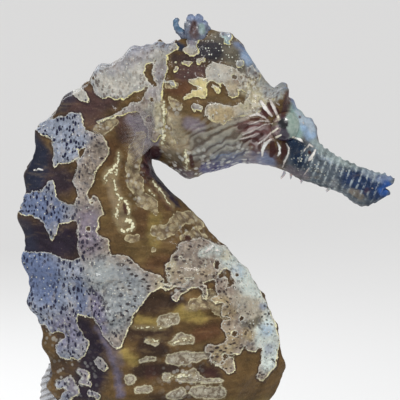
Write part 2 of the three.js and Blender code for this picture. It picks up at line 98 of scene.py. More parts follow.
ARMOUR = dict(
    band_height=0.32, band_width=0.16, ridge=0.28, knob_width=0.24, spread=0.06,
    knobs=dict(upper=0.75, side=0.7, lower=0.4), small_knob=0.55,
    slant=0.22, slant_reach=0.4, starts_over=0.5, on_tail=0.6, on_tip=0.15, tail_from=11, tail_over=3,
)
EYE = dict(x=17.5, y=2.75, z=4.8, radius=2.05)
ORBIT = dict(radius=2.7, width=0.6, height=0.4)
BROW_SPINE = dict(ring=-2.77, width=0.25, spread=0.1, height=2.05, power=3)
NOSE_DIP = dict(ring=-3.5, width=0.34, spread=0.2, depth=0.75)
NOSE_KNOBS = dict(rings=(-3.25, -3.55, -3.86, -4.15), width=0.1, spread=0.13, height=0.32)
NOSE_HUMP = dict(ring=-4, width=0.28, spread=0.16, height=0.8)
GILL_COVER = dict(x=8.2, z=4.6, width=4.2, height=0.55)
CHEEK_KNOB = dict(x=4.7, z=0.2, width=0.9, height=0.6)
FACE_END = 0.5


# ---------------- small helpers

def lerp(a, b, t):
    """From a at a share t of 0 to b at a share of 1."""
    return a + (b - a) * t


def bell(distance, width, power=2):
    """1 at no distance, falling to 1/e a width away; a higher power gives a blunter top."""
    return np.exp(-(np.abs(distance / width) ** power))


def ease(low, high, value):
    """0 below low, 1 above high, and a smooth step between."""
    t = np.clip((value - low) / (high - low), 0, 1)
    return t * t * (3 - 2 * t)


def through(knots, values, x):
    """A cubic through knots, whose slope at each comes from its neighbours; values may have columns."""
    knots = np.asarray(knots, float)
    values = np.asarray(values, float)
    slopes = np.gradient(values, knots, axis=0)
    i = np.clip(np.searchsorted(knots, x) - 1, 0, len(knots) - 2)
    span = knots[i + 1] - knots[i]
    t = (x - knots[i]) / span
    if values.ndim > 1:
        span, t = span[:, None], t[:, None]
    start = (1 + 2 * t) * (1 - t) ** 2 * values[i] + t * (1 - t) ** 2 * span * slopes[i]
    end = t * t * (3 - 2 * t) * values[i + 1] + t * t * (t - 1) * span * slopes[i + 1]
    return start + end


def lumps(points, size, seed, count=9):
    """Smooth seeded unevenness about 0, mostly within 1: waves of one length in random directions."""
    rng = np.random.default_rng(seed)
    directions = rng.normal(size=(count, 3))
    directions /= np.linalg.norm(directions, axis=1, keepdims=True)
    phases = rng.uniform(0, 2 * np.pi, count)
    return np.cos(points @ directions.T * (2 * np.pi / size) + phases).mean(-1) * 2


# ---------------- the body's surface

RINGS = np.array([station[0] for station in STATIONS], float)


def along(values, rings):
    """The cubic through one value for each station, read at any ring."""
    return through(RINGS, np.array(values, float), rings)


def tail_path():
    """The tail's centre line x, z, heading and share of length: a running sum of short turned steps."""
    steps = TAIL["steps"]
    rings = TAIL_TIP - TAIL_START
    middle = (np.arange(steps) + 0.5) / steps
    stride = lerp(TAIL["first_ring"], TAIL["last_ring"], middle) * rings / steps
    share = np.concatenate([[0], np.cumsum(stride)]) / stride.sum()
    bend = TAIL["bend"] * share ** TAIL["bend_power"]
    turn = np.radians(TAIL["lean"] + bend + TAIL["coil"] * share ** TAIL["coil_power"])
    x = TAIL["start"][0] + np.concatenate([[0], np.cumsum(np.sin(turn[:-1]) * stride)])
    z = TAIL["start"][1] - np.concatenate([[0], np.cumsum(np.cos(turn[:-1]) * stride)])
    return x, z, turn, share


TAIL_PATH = tail_path()


def frames(rings):
    """Belly and back points (x, z) and the half width at each ring."""
    belly = np.stack([along([s[2][k] for s in STATIONS], rings) for k in (0, 1)], -1)
    back = np.stack([along([s[1][k] for s in STATIONS], rings) for k in (0, 1)], -1)
    half = along([s[3] for s in STATIONS], rings)
    share = (rings - TAIL_START) / (TAIL_TIP - TAIL_START)
    spots = np.linspace(0, 1, len(TAIL_PATH[0]))
    x, z, turn, walked = (np.interp(share, spots, line) for line in TAIL_PATH)
    slim = (1 - walked) ** TAIL["taper"]
    reach = lerp(TAIL["depth"][1], TAIL["depth"][0], slim)[:, None] / 2
    forward = np.stack([np.cos(turn), np.sin(turn)], -1) * reach
    centre = np.stack([x, z], -1)
    on_tail = rings > TAIL_START
    belly = np.where(on_tail[:, None], centre + forward, belly)
    back = np.where(on_tail[:, None], centre - forward, back)
    half = np.where(on_tail, lerp(TAIL["half"][1], TAIL["half"][0], slim), half)
    return belly, back, half


def sections(rings, girths):
    """y (share of the half width, right side negative) and h (share of the depth) of each section."""
    at = np.minimum(rings, TAIL_START)
    kinds = [SECTIONS[s[4]] for s in STATIONS]
    corner = {
        "crest": (0 * at, along([k["crest"] for k in kinds], at)),
        "upper": tuple(along([k["upper"][i] for k in kinds], at) for i in (0, 1)),
        "side": (0 * at + 1, along([k["side"] for k in kinds], at)),
        "lower": tuple(along([k["lower"][i] for k in kinds], at) for i in (0, 1)),
        "keel": (0 * at, 0 * at),
    }
    order = ["upper", "crest", "upper", "side", "lower", "keel", "lower"]
    places = [-CORNERS["upper"], *CORNERS.values(), 2 - CORNERS["lower"]]
    mirrored = np.array([-1, 1, 1, 1, 1, 1, -1])
    wide = np.stack([corner[name][0] for name in order], -1) * mirrored
    high = np.stack([corner[name][1] for name in order], -1)
    girths = np.mod(girths, 2)
    folded = np.minimum(girths, 2 - girths)
    smooth = through(places, np.eye(7), folded)
    straight = np.stack([np.interp(folded, places, row) for row in np.eye(7)], -1)
    roundness = along([k["round"] for k in kinds], at)[:, None]
    y = lerp(wide @ straight.T, wide @ smooth.T, roundness)
    h = lerp(high @ straight.T, high @ smooth.T, roundness)
    return np.where(girths > 1, y, -y), h


def armour(ring, girth):
    """How far the bony rings, the lengthwise ridges and their knobs stand out: a sum of bells."""
    a = ARMOUR
    slant = a["slant"] * np.maximum(0, 1 - np.abs(girth - CORNERS["side"]) / a["slant_reach"])
    shifted = ring - slant
    number = np.floor(shifted)
    off_band = shifted - number - 0.5
    size = np.where(number % 2 == 0, 1, a["small_knob"])
    tail = np.clip((ring - a["tail_from"]) / a["tail_over"], 0, 1)
    relief = a["band_height"] * bell(off_band, a["band_width"])
    for name, knob in a["knobs"].items():
        height = a["ridge"] + knob * size * bell(off_band, a["knob_width"])
        fade = 1 - tail if name == "side" else 1
        relief = relief + bell(girth - CORNERS[name], a["spread"]) * height * fade
    toward_tip = np.maximum(0, ring - TAIL_START) / (TAIL_TIP - TAIL_START)
    grown = np.clip(ring / a["starts_over"], 0, 1)
    return relief * grown * lerp(1, a["on_tip"], toward_tip) * lerp(1, a["on_tail"], tail)


def face_bumps(ring, girth, x, z):
    """How far the eye's rim, brow spine, nose hump and cheek's swellings stand out: bells too."""
    rim = ORBIT["height"] * bell(np.hypot(x - EYE["x"], z - EYE["z"]) - ORBIT["radius"], ORBIT["width"])
    power = BROW_SPINE["power"]
    spine = BROW_SPINE["height"] * bell(ring - BROW_SPINE["ring"], BROW_SPINE["width"], power)
    spine = spine * bell(girth - CORNERS["upper"], BROW_SPINE["spread"], power)
    hump = NOSE_HUMP["height"] * bell(ring - NOSE_HUMP["ring"], NOSE_HUMP["width"])
    hump = hump * bell(girth, NOSE_HUMP["spread"])
    knobs = sum(bell(ring - at, NOSE_KNOBS["width"]) for at in NOSE_KNOBS["rings"])
    hump = hump + NOSE_KNOBS["height"] * knobs * bell(girth, NOSE_KNOBS["spread"])
    dip = NOSE_DIP["depth"] * bell(ring - NOSE_DIP["ring"], NOSE_DIP["width"])
    dip = dip * bell(girth, NOSE_DIP["spread"])
    swellings = sum(
        b["height"] * bell(np.hypot(x - b["x"], z - b["z"]), b["width"])
        for b in (GILL_COVER, CHEEK_KNOB)
    )
    return np.where(ring > FACE_END, 0, rim + spine + hump - dip + swellings)


GIRTH_STEP = 0.03


def surface(rings, girths, lift=0.0, detail=None):
    """Body points (rows, columns, 3): each section's outline, moved outwards by its relief and a lift."""
    rings, girths = np.asarray(rings, float), np.asarray(girths, float)
    belly, back, half = frames(rings)
    rise = back - belly
    depth = np.linalg.norm(rise, axis=1, keepdims=True)

    def place(shift):
        y, h = sections(rings, girths + shift)
        return y * half[:, None], h * depth

    y, h = place(0)
    ahead, behind = place(GIRTH_STEP), place(-GIRTH_STEP)
    along_left, along_rise = ahead[0] - behind[0], ahead[1] - behind[1]
    size = np.hypot(along_left, along_rise)
    out_left, out_rise = along_rise / size, -along_left / size
    up = (rise / depth)[:, None, :]
    at = belly[:, None, :] + up * h[..., None]
    folded = np.minimum(np.mod(girths, 2), 2 - np.mod(girths, 2))
    ring_grid = np.broadcast_to(rings[:, None], y.shape)
    girth_grid = np.broadcast_to(folded[None, :], y.shape)
    relief = armour(ring_grid, girth_grid) + face_bumps(ring_grid, girth_grid, at[..., 0], at[..., 1])
    if detail is not None:
        plain = np.stack([at[..., 0], y, at[..., 1]], -1)
        relief = relief + detail(ring_grid, girth_grid, plain)
    out = relief + lift
    at = at + up * (out_rise * out)[..., None]
    return np.stack([at[..., 0], y + out_left * out, at[..., 1]], -1)


# ---------------- the markings
# Each marking is a chain of round blots (x, z, radius) in a flat drawing, thrown on both flanks.
DRAWING = dict(x=6.4, z=-5.47, distance=350, lean=8.5)

PALE = [
    # nape saddle and the upright strip behind the head
    [(-7.8, 10.1, 0.5), (-6.3, 9.6, 1.5), (-4.5, 10.2, 2.3), (-3, 11.3, 2.5), (-1.7, 11.9, 2.6)],
    [(-3, 13, 2), (0, 14.2, 1.5), (2.4, 15, 0.9), (3.1, 14.9, 0.4)],
    [(1.2, 13.6, 0.85), (1.2, 12, 0.9), (1.2, 11, 0.6), (1.15, 10.1, 0.42), (0.5, 9, 0.9), (0.1, 8, 1.25),
     (0, 7, 1.55), (0.25, 6, 1.6), (0.4, 5, 1.4), (0.6, 4, 1.1), (0.2, 3.2, 0.8)],
    [(-0.5, 7, 0.9), (-2.5, 6.9, 0.6), (-4.3, 6, 0.3), (-6, 5.4, 0.14), (-7.3, 4.9, 0.2)],
    [(-11.4, 10, 0.8), (-10.2, 9.2, 0.7), (-9.2, 8.3, 0.6), (-8.7, 7.8, 0.4)],
    [(-7.2, 11.4, 0.8), (-5.6, 12.9, 0.9), (-3.6, 14, 0.9)],
    # shield on the upper back and the strip down from it
    [(-14.4, 4.2, 1.1), (-12.6, 4, 1.5), (-11, 4.4, 1.5), (-10.2, 5.3, 1)],
    [(-10.4, 3.6, 1.5), (-9.8, 2.5, 1.2), (-8.4, 2.6, 1.1), (-7.4, 2.1, 1.2), (-7, 1, 1.2),
     (-7.7, 0.3, 1.4), (-8.6, -0.8, 1.3), (-8.9, -2, 1.2), (-9.2, -3, 1.3), (-9.3, -4, 0.8),
     (-9.3, -4.8, 0.55)],
    [(-11.8, 2, 1.6), (-11.6, 0.6, 1.2), (-12.6, 0, 0.55), (-12.9, -0.9, 0.35)],
    [(-10.6, 0.6, 0.9)],
    # star on the back and its bridge to the flank
    [(-17, -6, 1.5), (-15.2, -6, 1.7), (-13.6, -6.8, 1.8), (-12, -7.3, 1.4), (-10.6, -7.2, 1.1)],
    [(-13.5, -3.4, 0.55), (-13.7, -4.6, 0.9), (-14, -5.5, 1.2)],
    [(-13.4, -8.8, 1.1), (-13.3, -10, 0.5), (-13.4, -10.8, 0.15)],
    [(-9.3, -5.6, 0.9), (-8.9, -7, 1.6), (-8.6, -8.2, 1.5), (-8.6, -10.4, 1.3), (-8.2, -11.8, 1.8),
     (-7, -11.7, 1.4), (-6.4, -12.4, 0.9)],
    [(-7.7, -5.4, 0.5), (-7.6, -6.6, 1), (-7, -7.2, 0.5)],
    # great saddle of the trunk
    [(-16.8, -14.5, 2.2), (-14.5, -15.2, 2.8), (-12, -16.6, 3), (-9, -16.5, 3.2), (-6.5, -16, 3.2),
     (-4.4, -15.4, 2.6), (-2.3, -16.3, 1.9), (-0.7, -16.5, 1.5), (0.4, -16.4, 1), (1.2, -16.2, 0.4)],
    [(-15.6, -17.8, 2.2), (-12, -18, 2.2), (-8, -18.5, 2.6), (-5.6, -19, 2.7), (-5.1, -20.8, 2.6),
     (-5, -22.6, 1.8), (-4.8, -24, 1), (-4.5, -25, 0.5)],
    [(-1.7, -17.4, 1.5), (-2.9, -19.2, 1.5)],
    [(1.2, -16.8, 0.3), (2.2, -17.2, 0.26), (3.3, -16.7, 0.3), (4.5, -16.2, 0.35)],
    [(-12.8, -22, 1.4), (-11.3, -22.4, 1.6), (-10.6, -24, 1.5), (-11.4, -25.4, 1.3), (-10, -25.6, 1.1),
     (-9.1, -24.6, 0.8)],
    [(-16.2, -20.8, 0.9), (-14, -20.9, 1.2), (-12, -21, 1.1), (-10.6, -20.8, 0.7)],
    [(-7.2, -27, 0.6), (-6.4, -27.8, 0.55)],
    [(-9.7, -28.3, 0.45), (-8.8, -28.8, 0.5), (-9.3, -29.6, 0.45), (-8.3, -30, 0.35)],
    [(-12.3, -30.1, 0.6), (-11, -29.8, 0.7), (-10.3, -31, 0.6), (-11.6, -31.7, 0.6)],
    [(-8.2, -31.2, 0.45), (-7.2, -31.7, 0.45)],
    # belly net
    [(3.7, -13.1, 1), (3.3, -14.6, 1.5), (3.4, -15.4, 1.4), (5.5, -14.6, 2.2), (7.6, -14, 2.2),
     (9.5, -13.6, 2), (10.8, -15.5, 2.2), (9.9, -17, 1.5), (12.5, -17, 2)],
    [(4.5, -12, 1.1), (6.5, -11.8, 1.3), (8.4, -12.4, 1)],
    [(3.9, -17.2, 0.3), (5, -16.9, 0.35), (6.3, -16.7, 0.4), (7, -17.4, 0.4), (7.1, -18.6, 0.25)],
    [(4.6, -17.3, 0.3), (3.7, -17.9, 0.3), (3, -18.5, 0.35), (3.4, -18.9, 0.2)],
    [(8.4, -18.8, 0.5), (9.6, -18.5, 0.7), (11.4, -19, 1.3), (13, -20, 1.5)],
    [(10.6, -20.3, 1.3), (10.9, -22, 1.6), (11.6, -23.6, 1.5), (11.2, -25, 1), (9.5, -25.4, 0.75),
     (7.6, -25.4, 0.6)],
    [(8.5, -26.7, 0.9), (10, -27, 1), (10.4, -28, 0.7)],
    [(12.8, -20.6, 1.2), (13.6, -22.6, 1.2), (13.4, -24.8, 1)],
    [(13, -18, 1.4), (14.4, -20, 1.2), (15.2, -22, 1.2), (15.8, -24.4, 1.2), (15.6, -27, 1),
     (14.6, -29, 0.7)],
    # crown
    [(4.6, 14.5, 0.5), (5.6, 14.4, 0.6), (5.5, 15.5, 0.65), (5, 15.6, 0.45)],
    [(4.1, 12.8, 0.25), (5, 12.8, 0.34)],
    [(3.2, 12.9, 0.18)],
    [(2.95, 11.8, 0.28), (3.3, 12.2, 0.28)],
    [(6.3, 13, 0.38), (6.8, 13.2, 0.38)],
    [(8.3, 11.6, 1.25), (9.7, 11.2, 1.3), (11, 10.9, 1)],
    [(10.6, 10, 0.8), (10.8, 8.9, 0.78)],
    [(8.2, 9.7, 0.28), (8.9, 9.2, 0.42)],
    [(5.2, 10.3, 0.3), (6.2, 10.3, 0.6), (6.8, 9.6, 0.5), (6.6, 8.8, 0.75), (5.7, 8.8, 0.4),
     (4.4, 8.1, 0.28)],
    [(7, 10.3, 0.3), (7.7, 10.8, 0.4)],
    [(2, 10.3, 0.22), (2.7, 10.2, 0.28), (2.9, 9.8, 0.22)],
    [(11.8, 12.7, 0.55)],
    [(9.5, 16.5, 0.5), (10.3, 16.3, 0.45), (9.9, 15.6, 0.4)],
    # cheek and face
    [(5.6, 7, 0.5), (6.3, 6.7, 0.45)],
    [(8.3, 6.2, 1.3), (9.5, 6, 1.2), (10.9, 6.3, 0.9), (12, 6.7, 1), (13.5, 7.4, 1.3), (14.8, 8.2, 0.9)],
    [(12.3, 10.2, 1.15), (13.4, 9.7, 1.1), (14, 8.8, 0.9), (15.4, 8.6, 0.8), (16.6, 8.7, 0.7)],
    [(13.2, 12, 0.5), (14, 11, 0.5)],
]
# gaps in the pale patches
HOLES = [
    [(0.4, 13.05, 0.1), (-0.45, 12.2, 0.38), (-0.55, 11.3, 0.42), (-0.2, 10.6, 0.35), (0.4, 9.9, 0.3)],
    [(0.05, 7.9, 0.3)], [(-0.35, 5.25, 0.42)], [(-0.35, 7.05, 0.08), (0, 7, 0.08)], [(-8, -5.9, 0.25)],
    [(-8.5, -9.4, 0.3)], [(-9.6, -21.8, 0.45), (-8.6, -22.6, 0.6), (-7.6, -24.2, 0.45)],
    [(-12.9, -23.6, 0.45), (-12, -23.6, 0.4)], [(3.8, -13.1, 0.2)],
    [(2.25, -15.4, 0.14), (2.2, -15.7, 0.14)], [(4.65, -16.6, 0.1)], [(6.25, -16.1, 0.14)],
    [(4.4, -16.1, 0.08), (5.4, -15.8, 0.1)], [(5.9, -14.8, 0.07), (6.2, -14.8, 0.07)],
    [(8.7, -13.5, 0.22), (8.65, -14.5, 0.28)], [(9.2, -15.5, 0.3), (10, -15.2, 0.45), (10.4, -16, 0.35)],
    [(8, -17.1, 0.15), (8.4, -17.2, 0.2)], [(10.3, -16.8, 0.2), (10.8, -16.5, 0.2)], [(11.3, -15.5, 0.2)],
    [(11, -23.3, 0.4)], [(12, -21.2, 0.3)], [(10.2, -21.3, 0.14), (9.6, -21.3, 0.14)], [(9.7, -26.3, 0.35)],
    [(8.6, -27.3, 0.2)], [(9.5, -27.2, 0.18)], [(10.6, -27.3, 0.15)],
    [(8.2, 8.5, 0.45), (9.3, 8.2, 0.42), (10.4, 7.35, 0.35), (11.5, 7.75, 0.32), (12.4, 8.45, 0.5)],
    [(9.35, 9.8, 0.2), (9.5, 9, 0.28)], [(11.05, 10.9, 0.3)], [(14.6, 9.1, 0.16)], [(13.1, 7.3, 0.2)],
    [(12.1, 7.5, 0.18)], [(8.05, 5.5, 0.18)], [(7.15, 5.6, 0.22)], [(8.95, 4.65, 0.3)], [(9.1, 11.15, 0.2)],
    [(6.6, 9.25, 0.12), (6.3, 9.3, 0.08)],
]
# knobbly flesh in the ground's own tones: the neck's column, a lobe of the shoulder, the cheek's edge
FLESH = [
    [(-1.6, 3, 0.8), (-2.1, 1.5, 0.85), (-2.6, -1, 0.85), (-2.3, -3.2, 1), (-1.7, -4.4, 0.6),
     (-1.2, -5.6, 0.9), (-0.1, -5.9, 0.75), (0.6, -7.4, 0.3)],
    [(-7, 3.8, 0.9), (-6, 4.5, 0.8), (-5, 5, 0.5)],
    [(0.4, -9.5, 0.7), (1.3, -9.8, 0.9), (2.6, -9.3, 0.8), (3.6, -8, 0.9), (5.2, -7.7, 0.8),
     (6.4, -8.8, 0.5)],
    [(4.4, -10.6, 0.6), (5.6, -10, 0.7), (7, -10.6, 0.5)], [(-3.2, -10.6, 0.5), (-2.1, -10.6, 0.5)],
    [(0.2, -12.1, 0.35)], [(2.3, 8.1, 0.2), (3, 7.4, 0.5), (3.7, 7, 0.45)],
    [(7.6, -18.2, 0.9), (8.6, -19.6, 0.9), (10, -20.8, 0.8)], [(5.4, -19.4, 0.7), (7, -18.9, 0.7)],
    [(2.2, 9.8, 0.4), (3.1, 9.9, 0.35)],
    [(1.7, 5.9, 0.5), (1.9, 4.9, 0.6), (2.1, 3.6, 0.7), (2.3, 2.2, 0.8)],
]
# pale green-grey ovals of the lower flank, through which the ground shows
OVALS = [
    [(1.4, -21.7, 0.85), (2.9, -21.3, 0.85)], [(2.6, -24.5, 0.35), (3.8, -24, 0.8), (5.2, -24.1, 0.6)],
    [(2.5, -26.7, 0.75), (4, -26.6, 0.95), (5.8, -26.5, 0.6), (7.6, -26, 0.5)], [(1.9, -29, 0.65)],
    [(3.8, -29.2, 0.55), (5.4, -28.9, 0.9), (6.6, -29.5, 0.4), (9.2, -29.6, 0.35)], [(-2.9, -29.4, 0.8)],
    [(-1.9, -30.8, 0.5), (-0.4, -30.6, 0.5)], [(2.5, -31.6, 0.6), (3.8, -31.2, 0.8)],
    [(5.9, -31, 0.8), (9, -31.2, 0.9)], [(-0.8, -24.2, 0.3), (0.6, -24.6, 0.35)],
    [(-1.5, -26.9, 0.3), (0.2, -26.6, 0.35)],
]
# rows of small bright beads on the throat's side and the lower flank
BEADS = [
    [(-4.4, 0.8, 0.12), (-4.6, -0.5, 0.1), (-5.2, -1.4, 0.16), (-5.8, -1.8, 0.14), (-6.3, -2.4, 0.12),
     (-6.1, -3, 0.1)],
    [(-4.6, -1.4, 0.1), (-4.7, -2, 0.12), (-5.1, -2.2, 0.1)],
    [(-5.1, -2.8, 0.1), (-5, -3.8, 0.1), (-4.7, -4.6, 0.12), (-4.4, -5.2, 0.1), (-4.4, -6.2, 0.1),
     (-4.8, -7.2, 0.12), (-4.7, -7.9, 0.1)],
    [(-3.9, -5.4, 0.1), (-3.2, -6, 0.12), (-3.1, -7.5, 0.12), (-3.4, -8.2, 0.14), (-2.7, -8.3, 0.16),
     (-2.6, -9.2, 0.12), (-3.5, -9.6, 0.1), (-4.3, -9.4, 0.1), (-4.6, -8.7, 0.08)],
    [(4.6, 1.1, 0.14), (4.55, 0.3, 0.1), (4.55, -0.1, 0.14), (4.6, -0.5, 0.1), (4.6, -1.1, 0.1)],
    [(1.5, 7.6, 0.06), (1.6, 5.5, 0.1), (1.5, 4.2, 0.08), (1.6, 3, 0.1), (1.3, 1.9, 0.08)],
    [(0, -3, 0.06), (1.5, -4.6, 0.09), (2, -5.6, 0.08), (2.8, -6.4, 0.07)],
    [(-0.5, -4, 0.06), (0.4, -4.9, 0.07)], [(-0.4, -24.1, 0.06), (0.8, -24.3, 0.07)],
    [(2.5, -24.6, 0.1), (3.3, -24.4, 0.1), (4.4, -24.1, 0.1), (5.4, -24, 0.1)],
    [(2, -29.2, 0.1), (4.2, -28.9, 0.09), (5.6, -28.8, 0.1)], [(-2.6, -22.4, 0.04), (1.4, -22.6, 0.06)],
]
# smooth bright streaks: folds round the eye, the edges of the snout's plates, glints of back and belly
STREAKS = [
    [(0.25, 3.6, 0.2)], [(3.6, 2.6, 0.14)], [(3.4, 2.1, 0.14)], [(6.6, -0.3, 0.12), (6.9, -0.15, 0.12)],
    [(12, 3.2, 0.1), (13, 3.55, 0.12), (14, 4.05, 0.12), (15, 4.6, 0.1), (16, 4.7, 0.08)],
    [(14.1, 2, 0.12), (15, 2.6, 0.14), (15.8, 3.4, 0.14), (16.8, 4.1, 0.1)],
    [(15.8, 2.6, 0.1), (16.6, 2.9, 0.12), (17.2, 3.2, 0.1)],
    [(11.6, 2.6, 0.1), (12.8, 2.9, 0.14), (13.8, 3.3, 0.12)],
    [(13, 4.6, 0.08), (14.4, 5.1, 0.12), (15.6, 5, 0.1)],
    [(14.7, 0.4, 0.14), (14.75, 1.2, 0.24), (15.1, 2, 0.26), (15.8, 2.6, 0.18)],
    [(16.7, 2.3, 0.1), (17.05, 1.5, 0.18), (17, 0.8, 0.18), (16.7, 0.3, 0.1)],
    [(17.9, 2.1, 0.08), (18.25, 1.4, 0.15), (18.2, 0.7, 0.14), (17.7, -0.3, 0.16), (17.4, -1.1, 0.1)],
    [(14.5, 7.7, 0.22), (15.1, 6.8, 0.28), (16, 5.7, 0.16)],
    [(15.7, 7.9, 0.16), (16.3, 6.8, 0.24), (16.8, 5.6, 0.16)],
    [(12.9, 5.7, 0.12), (14, 6, 0.22), (14.9, 5.6, 0.14), (15.6, 5.1, 0.1)],
    [(16.6, 7.5, 0.1), (17, 7.2, 0.12)], [(18.8, 2.9, 0.12), (19.8, 2.55, 0.2), (20.2, 2.2, 0.08)],
    [(20.2, 1, 0.1), (21, 1.9, 0.16), (21.5, 1.6, 0.14)],
    [(21.8, 1.2, 0.16), (21.2, 0.1, 0.24), (20.9, -0.2, 0.16)], [(20.9, -1.3, 0.12), (20.2, -2.2, 0.12)],
    [(29.4, -3.9, 0.14)], [(-15.8, -1.5, 0.12), (-15.1, -1.4, 0.2), (-14.6, -1.5, 0.12)],
    [(20.2, 4.8, 0.16)], [(14, 11, 0.14)], [(6.5, -12.7, 0.08), (7.4, -12.2, 0.2), (8.1, -11.6, 0.2)],
    [(8, -12.3, 0.08), (8.8, -12.1, 0.14), (9.5, -12.5, 0.08)],
    [(2.9, -11.2, 0.08), (3.4, -11.9, 0.14), (3.2, -12.5, 0.08)],
]
# dark lines and dots between them
SHADE = [
    [(14.6, 6.7, 0.2), (15.3, 5.8, 0.22)], [(15.5, 7.4, 0.22), (16.1, 6.4, 0.16)],
    [(16.6, 6.7, 0.14), (16.9, 6.2, 0.12)], [(13.2, 5.3, 0.14), (14.2, 5.3, 0.18)],
    [(16.05, 2.1, 0.3), (16.1, 1, 0.4), (15.9, 0.4, 0.2)],
    [(17.55, 2.1, 0.26), (17.65, 0.9, 0.34), (17.3, 0.1, 0.2)], [(14.3, 1.5, 0.2), (14.4, 2.1, 0.14)],
    [(-3.7, -6, 0.16), (-3.5, -7.3, 0.18)], [(-3.1, -8.9, 0.14)], [(5.15, 0.4, 0.2), (5.4, -0.9, 0.25)],
    [(4.8, -10.6, 0.4)], [(-4.2, 4.3, 0.06), (-4.4, 5.2, 0.1)], [(21, 0.9, 0.2)],
    [(3.9, -17.3, 0.1), (3.4, -17.3, 0.15)], [(19.7, 5.6, 0.15)], [(13.8, 11.5, 0.16)],
    [(11.7, 4.2, 0.3), (12.6, 4.4, 0.3)], [(13.6, 2.5, 0.3), (14.6, 3.2, 0.24)],
    [(12.2, 2.4, 0.2), (13, 2.7, 0.2)],
]

# ---------------- soft tones

TONES = {
    "umber": (106, 83, 52), "olive": (104, 84, 52), "gold": (170, 148, 84), "dusk": (63, 47, 38),
    "plum": (46, 36, 50), "slate": (42, 46, 64), "mauve": (82, 60, 60), "russet": (96, 64, 44),
    "maroon": (80, 46, 46), "ink": (30, 24, 44), "coal": (52, 50, 56), "navy": (30, 48, 72),
    "indigo": (78, 88, 146), "sage": (112, 106, 92), "tan": (178, 162, 134), "buff": (166, 148, 112),
    "cream": (182, 174, 144), "butter": (200, 187, 136), "lilac": (130, 120, 130), "green": (144, 168, 164),
    "sky": (154, 182, 212), "stone": (116, 114, 108), "steel": (38, 58, 94), "ash": (143, 147, 149),
    "reflected blue": (50, 92, 164), "pink": (142, 133, 120), "violet shade": (112, 108, 134), "bone": (173, 170, 162),
    "cloud": (140, 147, 162), "shadow": (97, 110, 141), "ice": (194, 202, 196), "putty": (148, 136, 124),
    "pewter": (96, 106, 116), "frost": (174, 188, 200), "wine": (122, 92, 94), "almond": (165, 158, 143),
    "teal": (74, 110, 140), "mist": (118, 134, 166), "violet": (84, 86, 140), "silver": (158, 172, 172),
    "flint": (104, 112, 132),
}
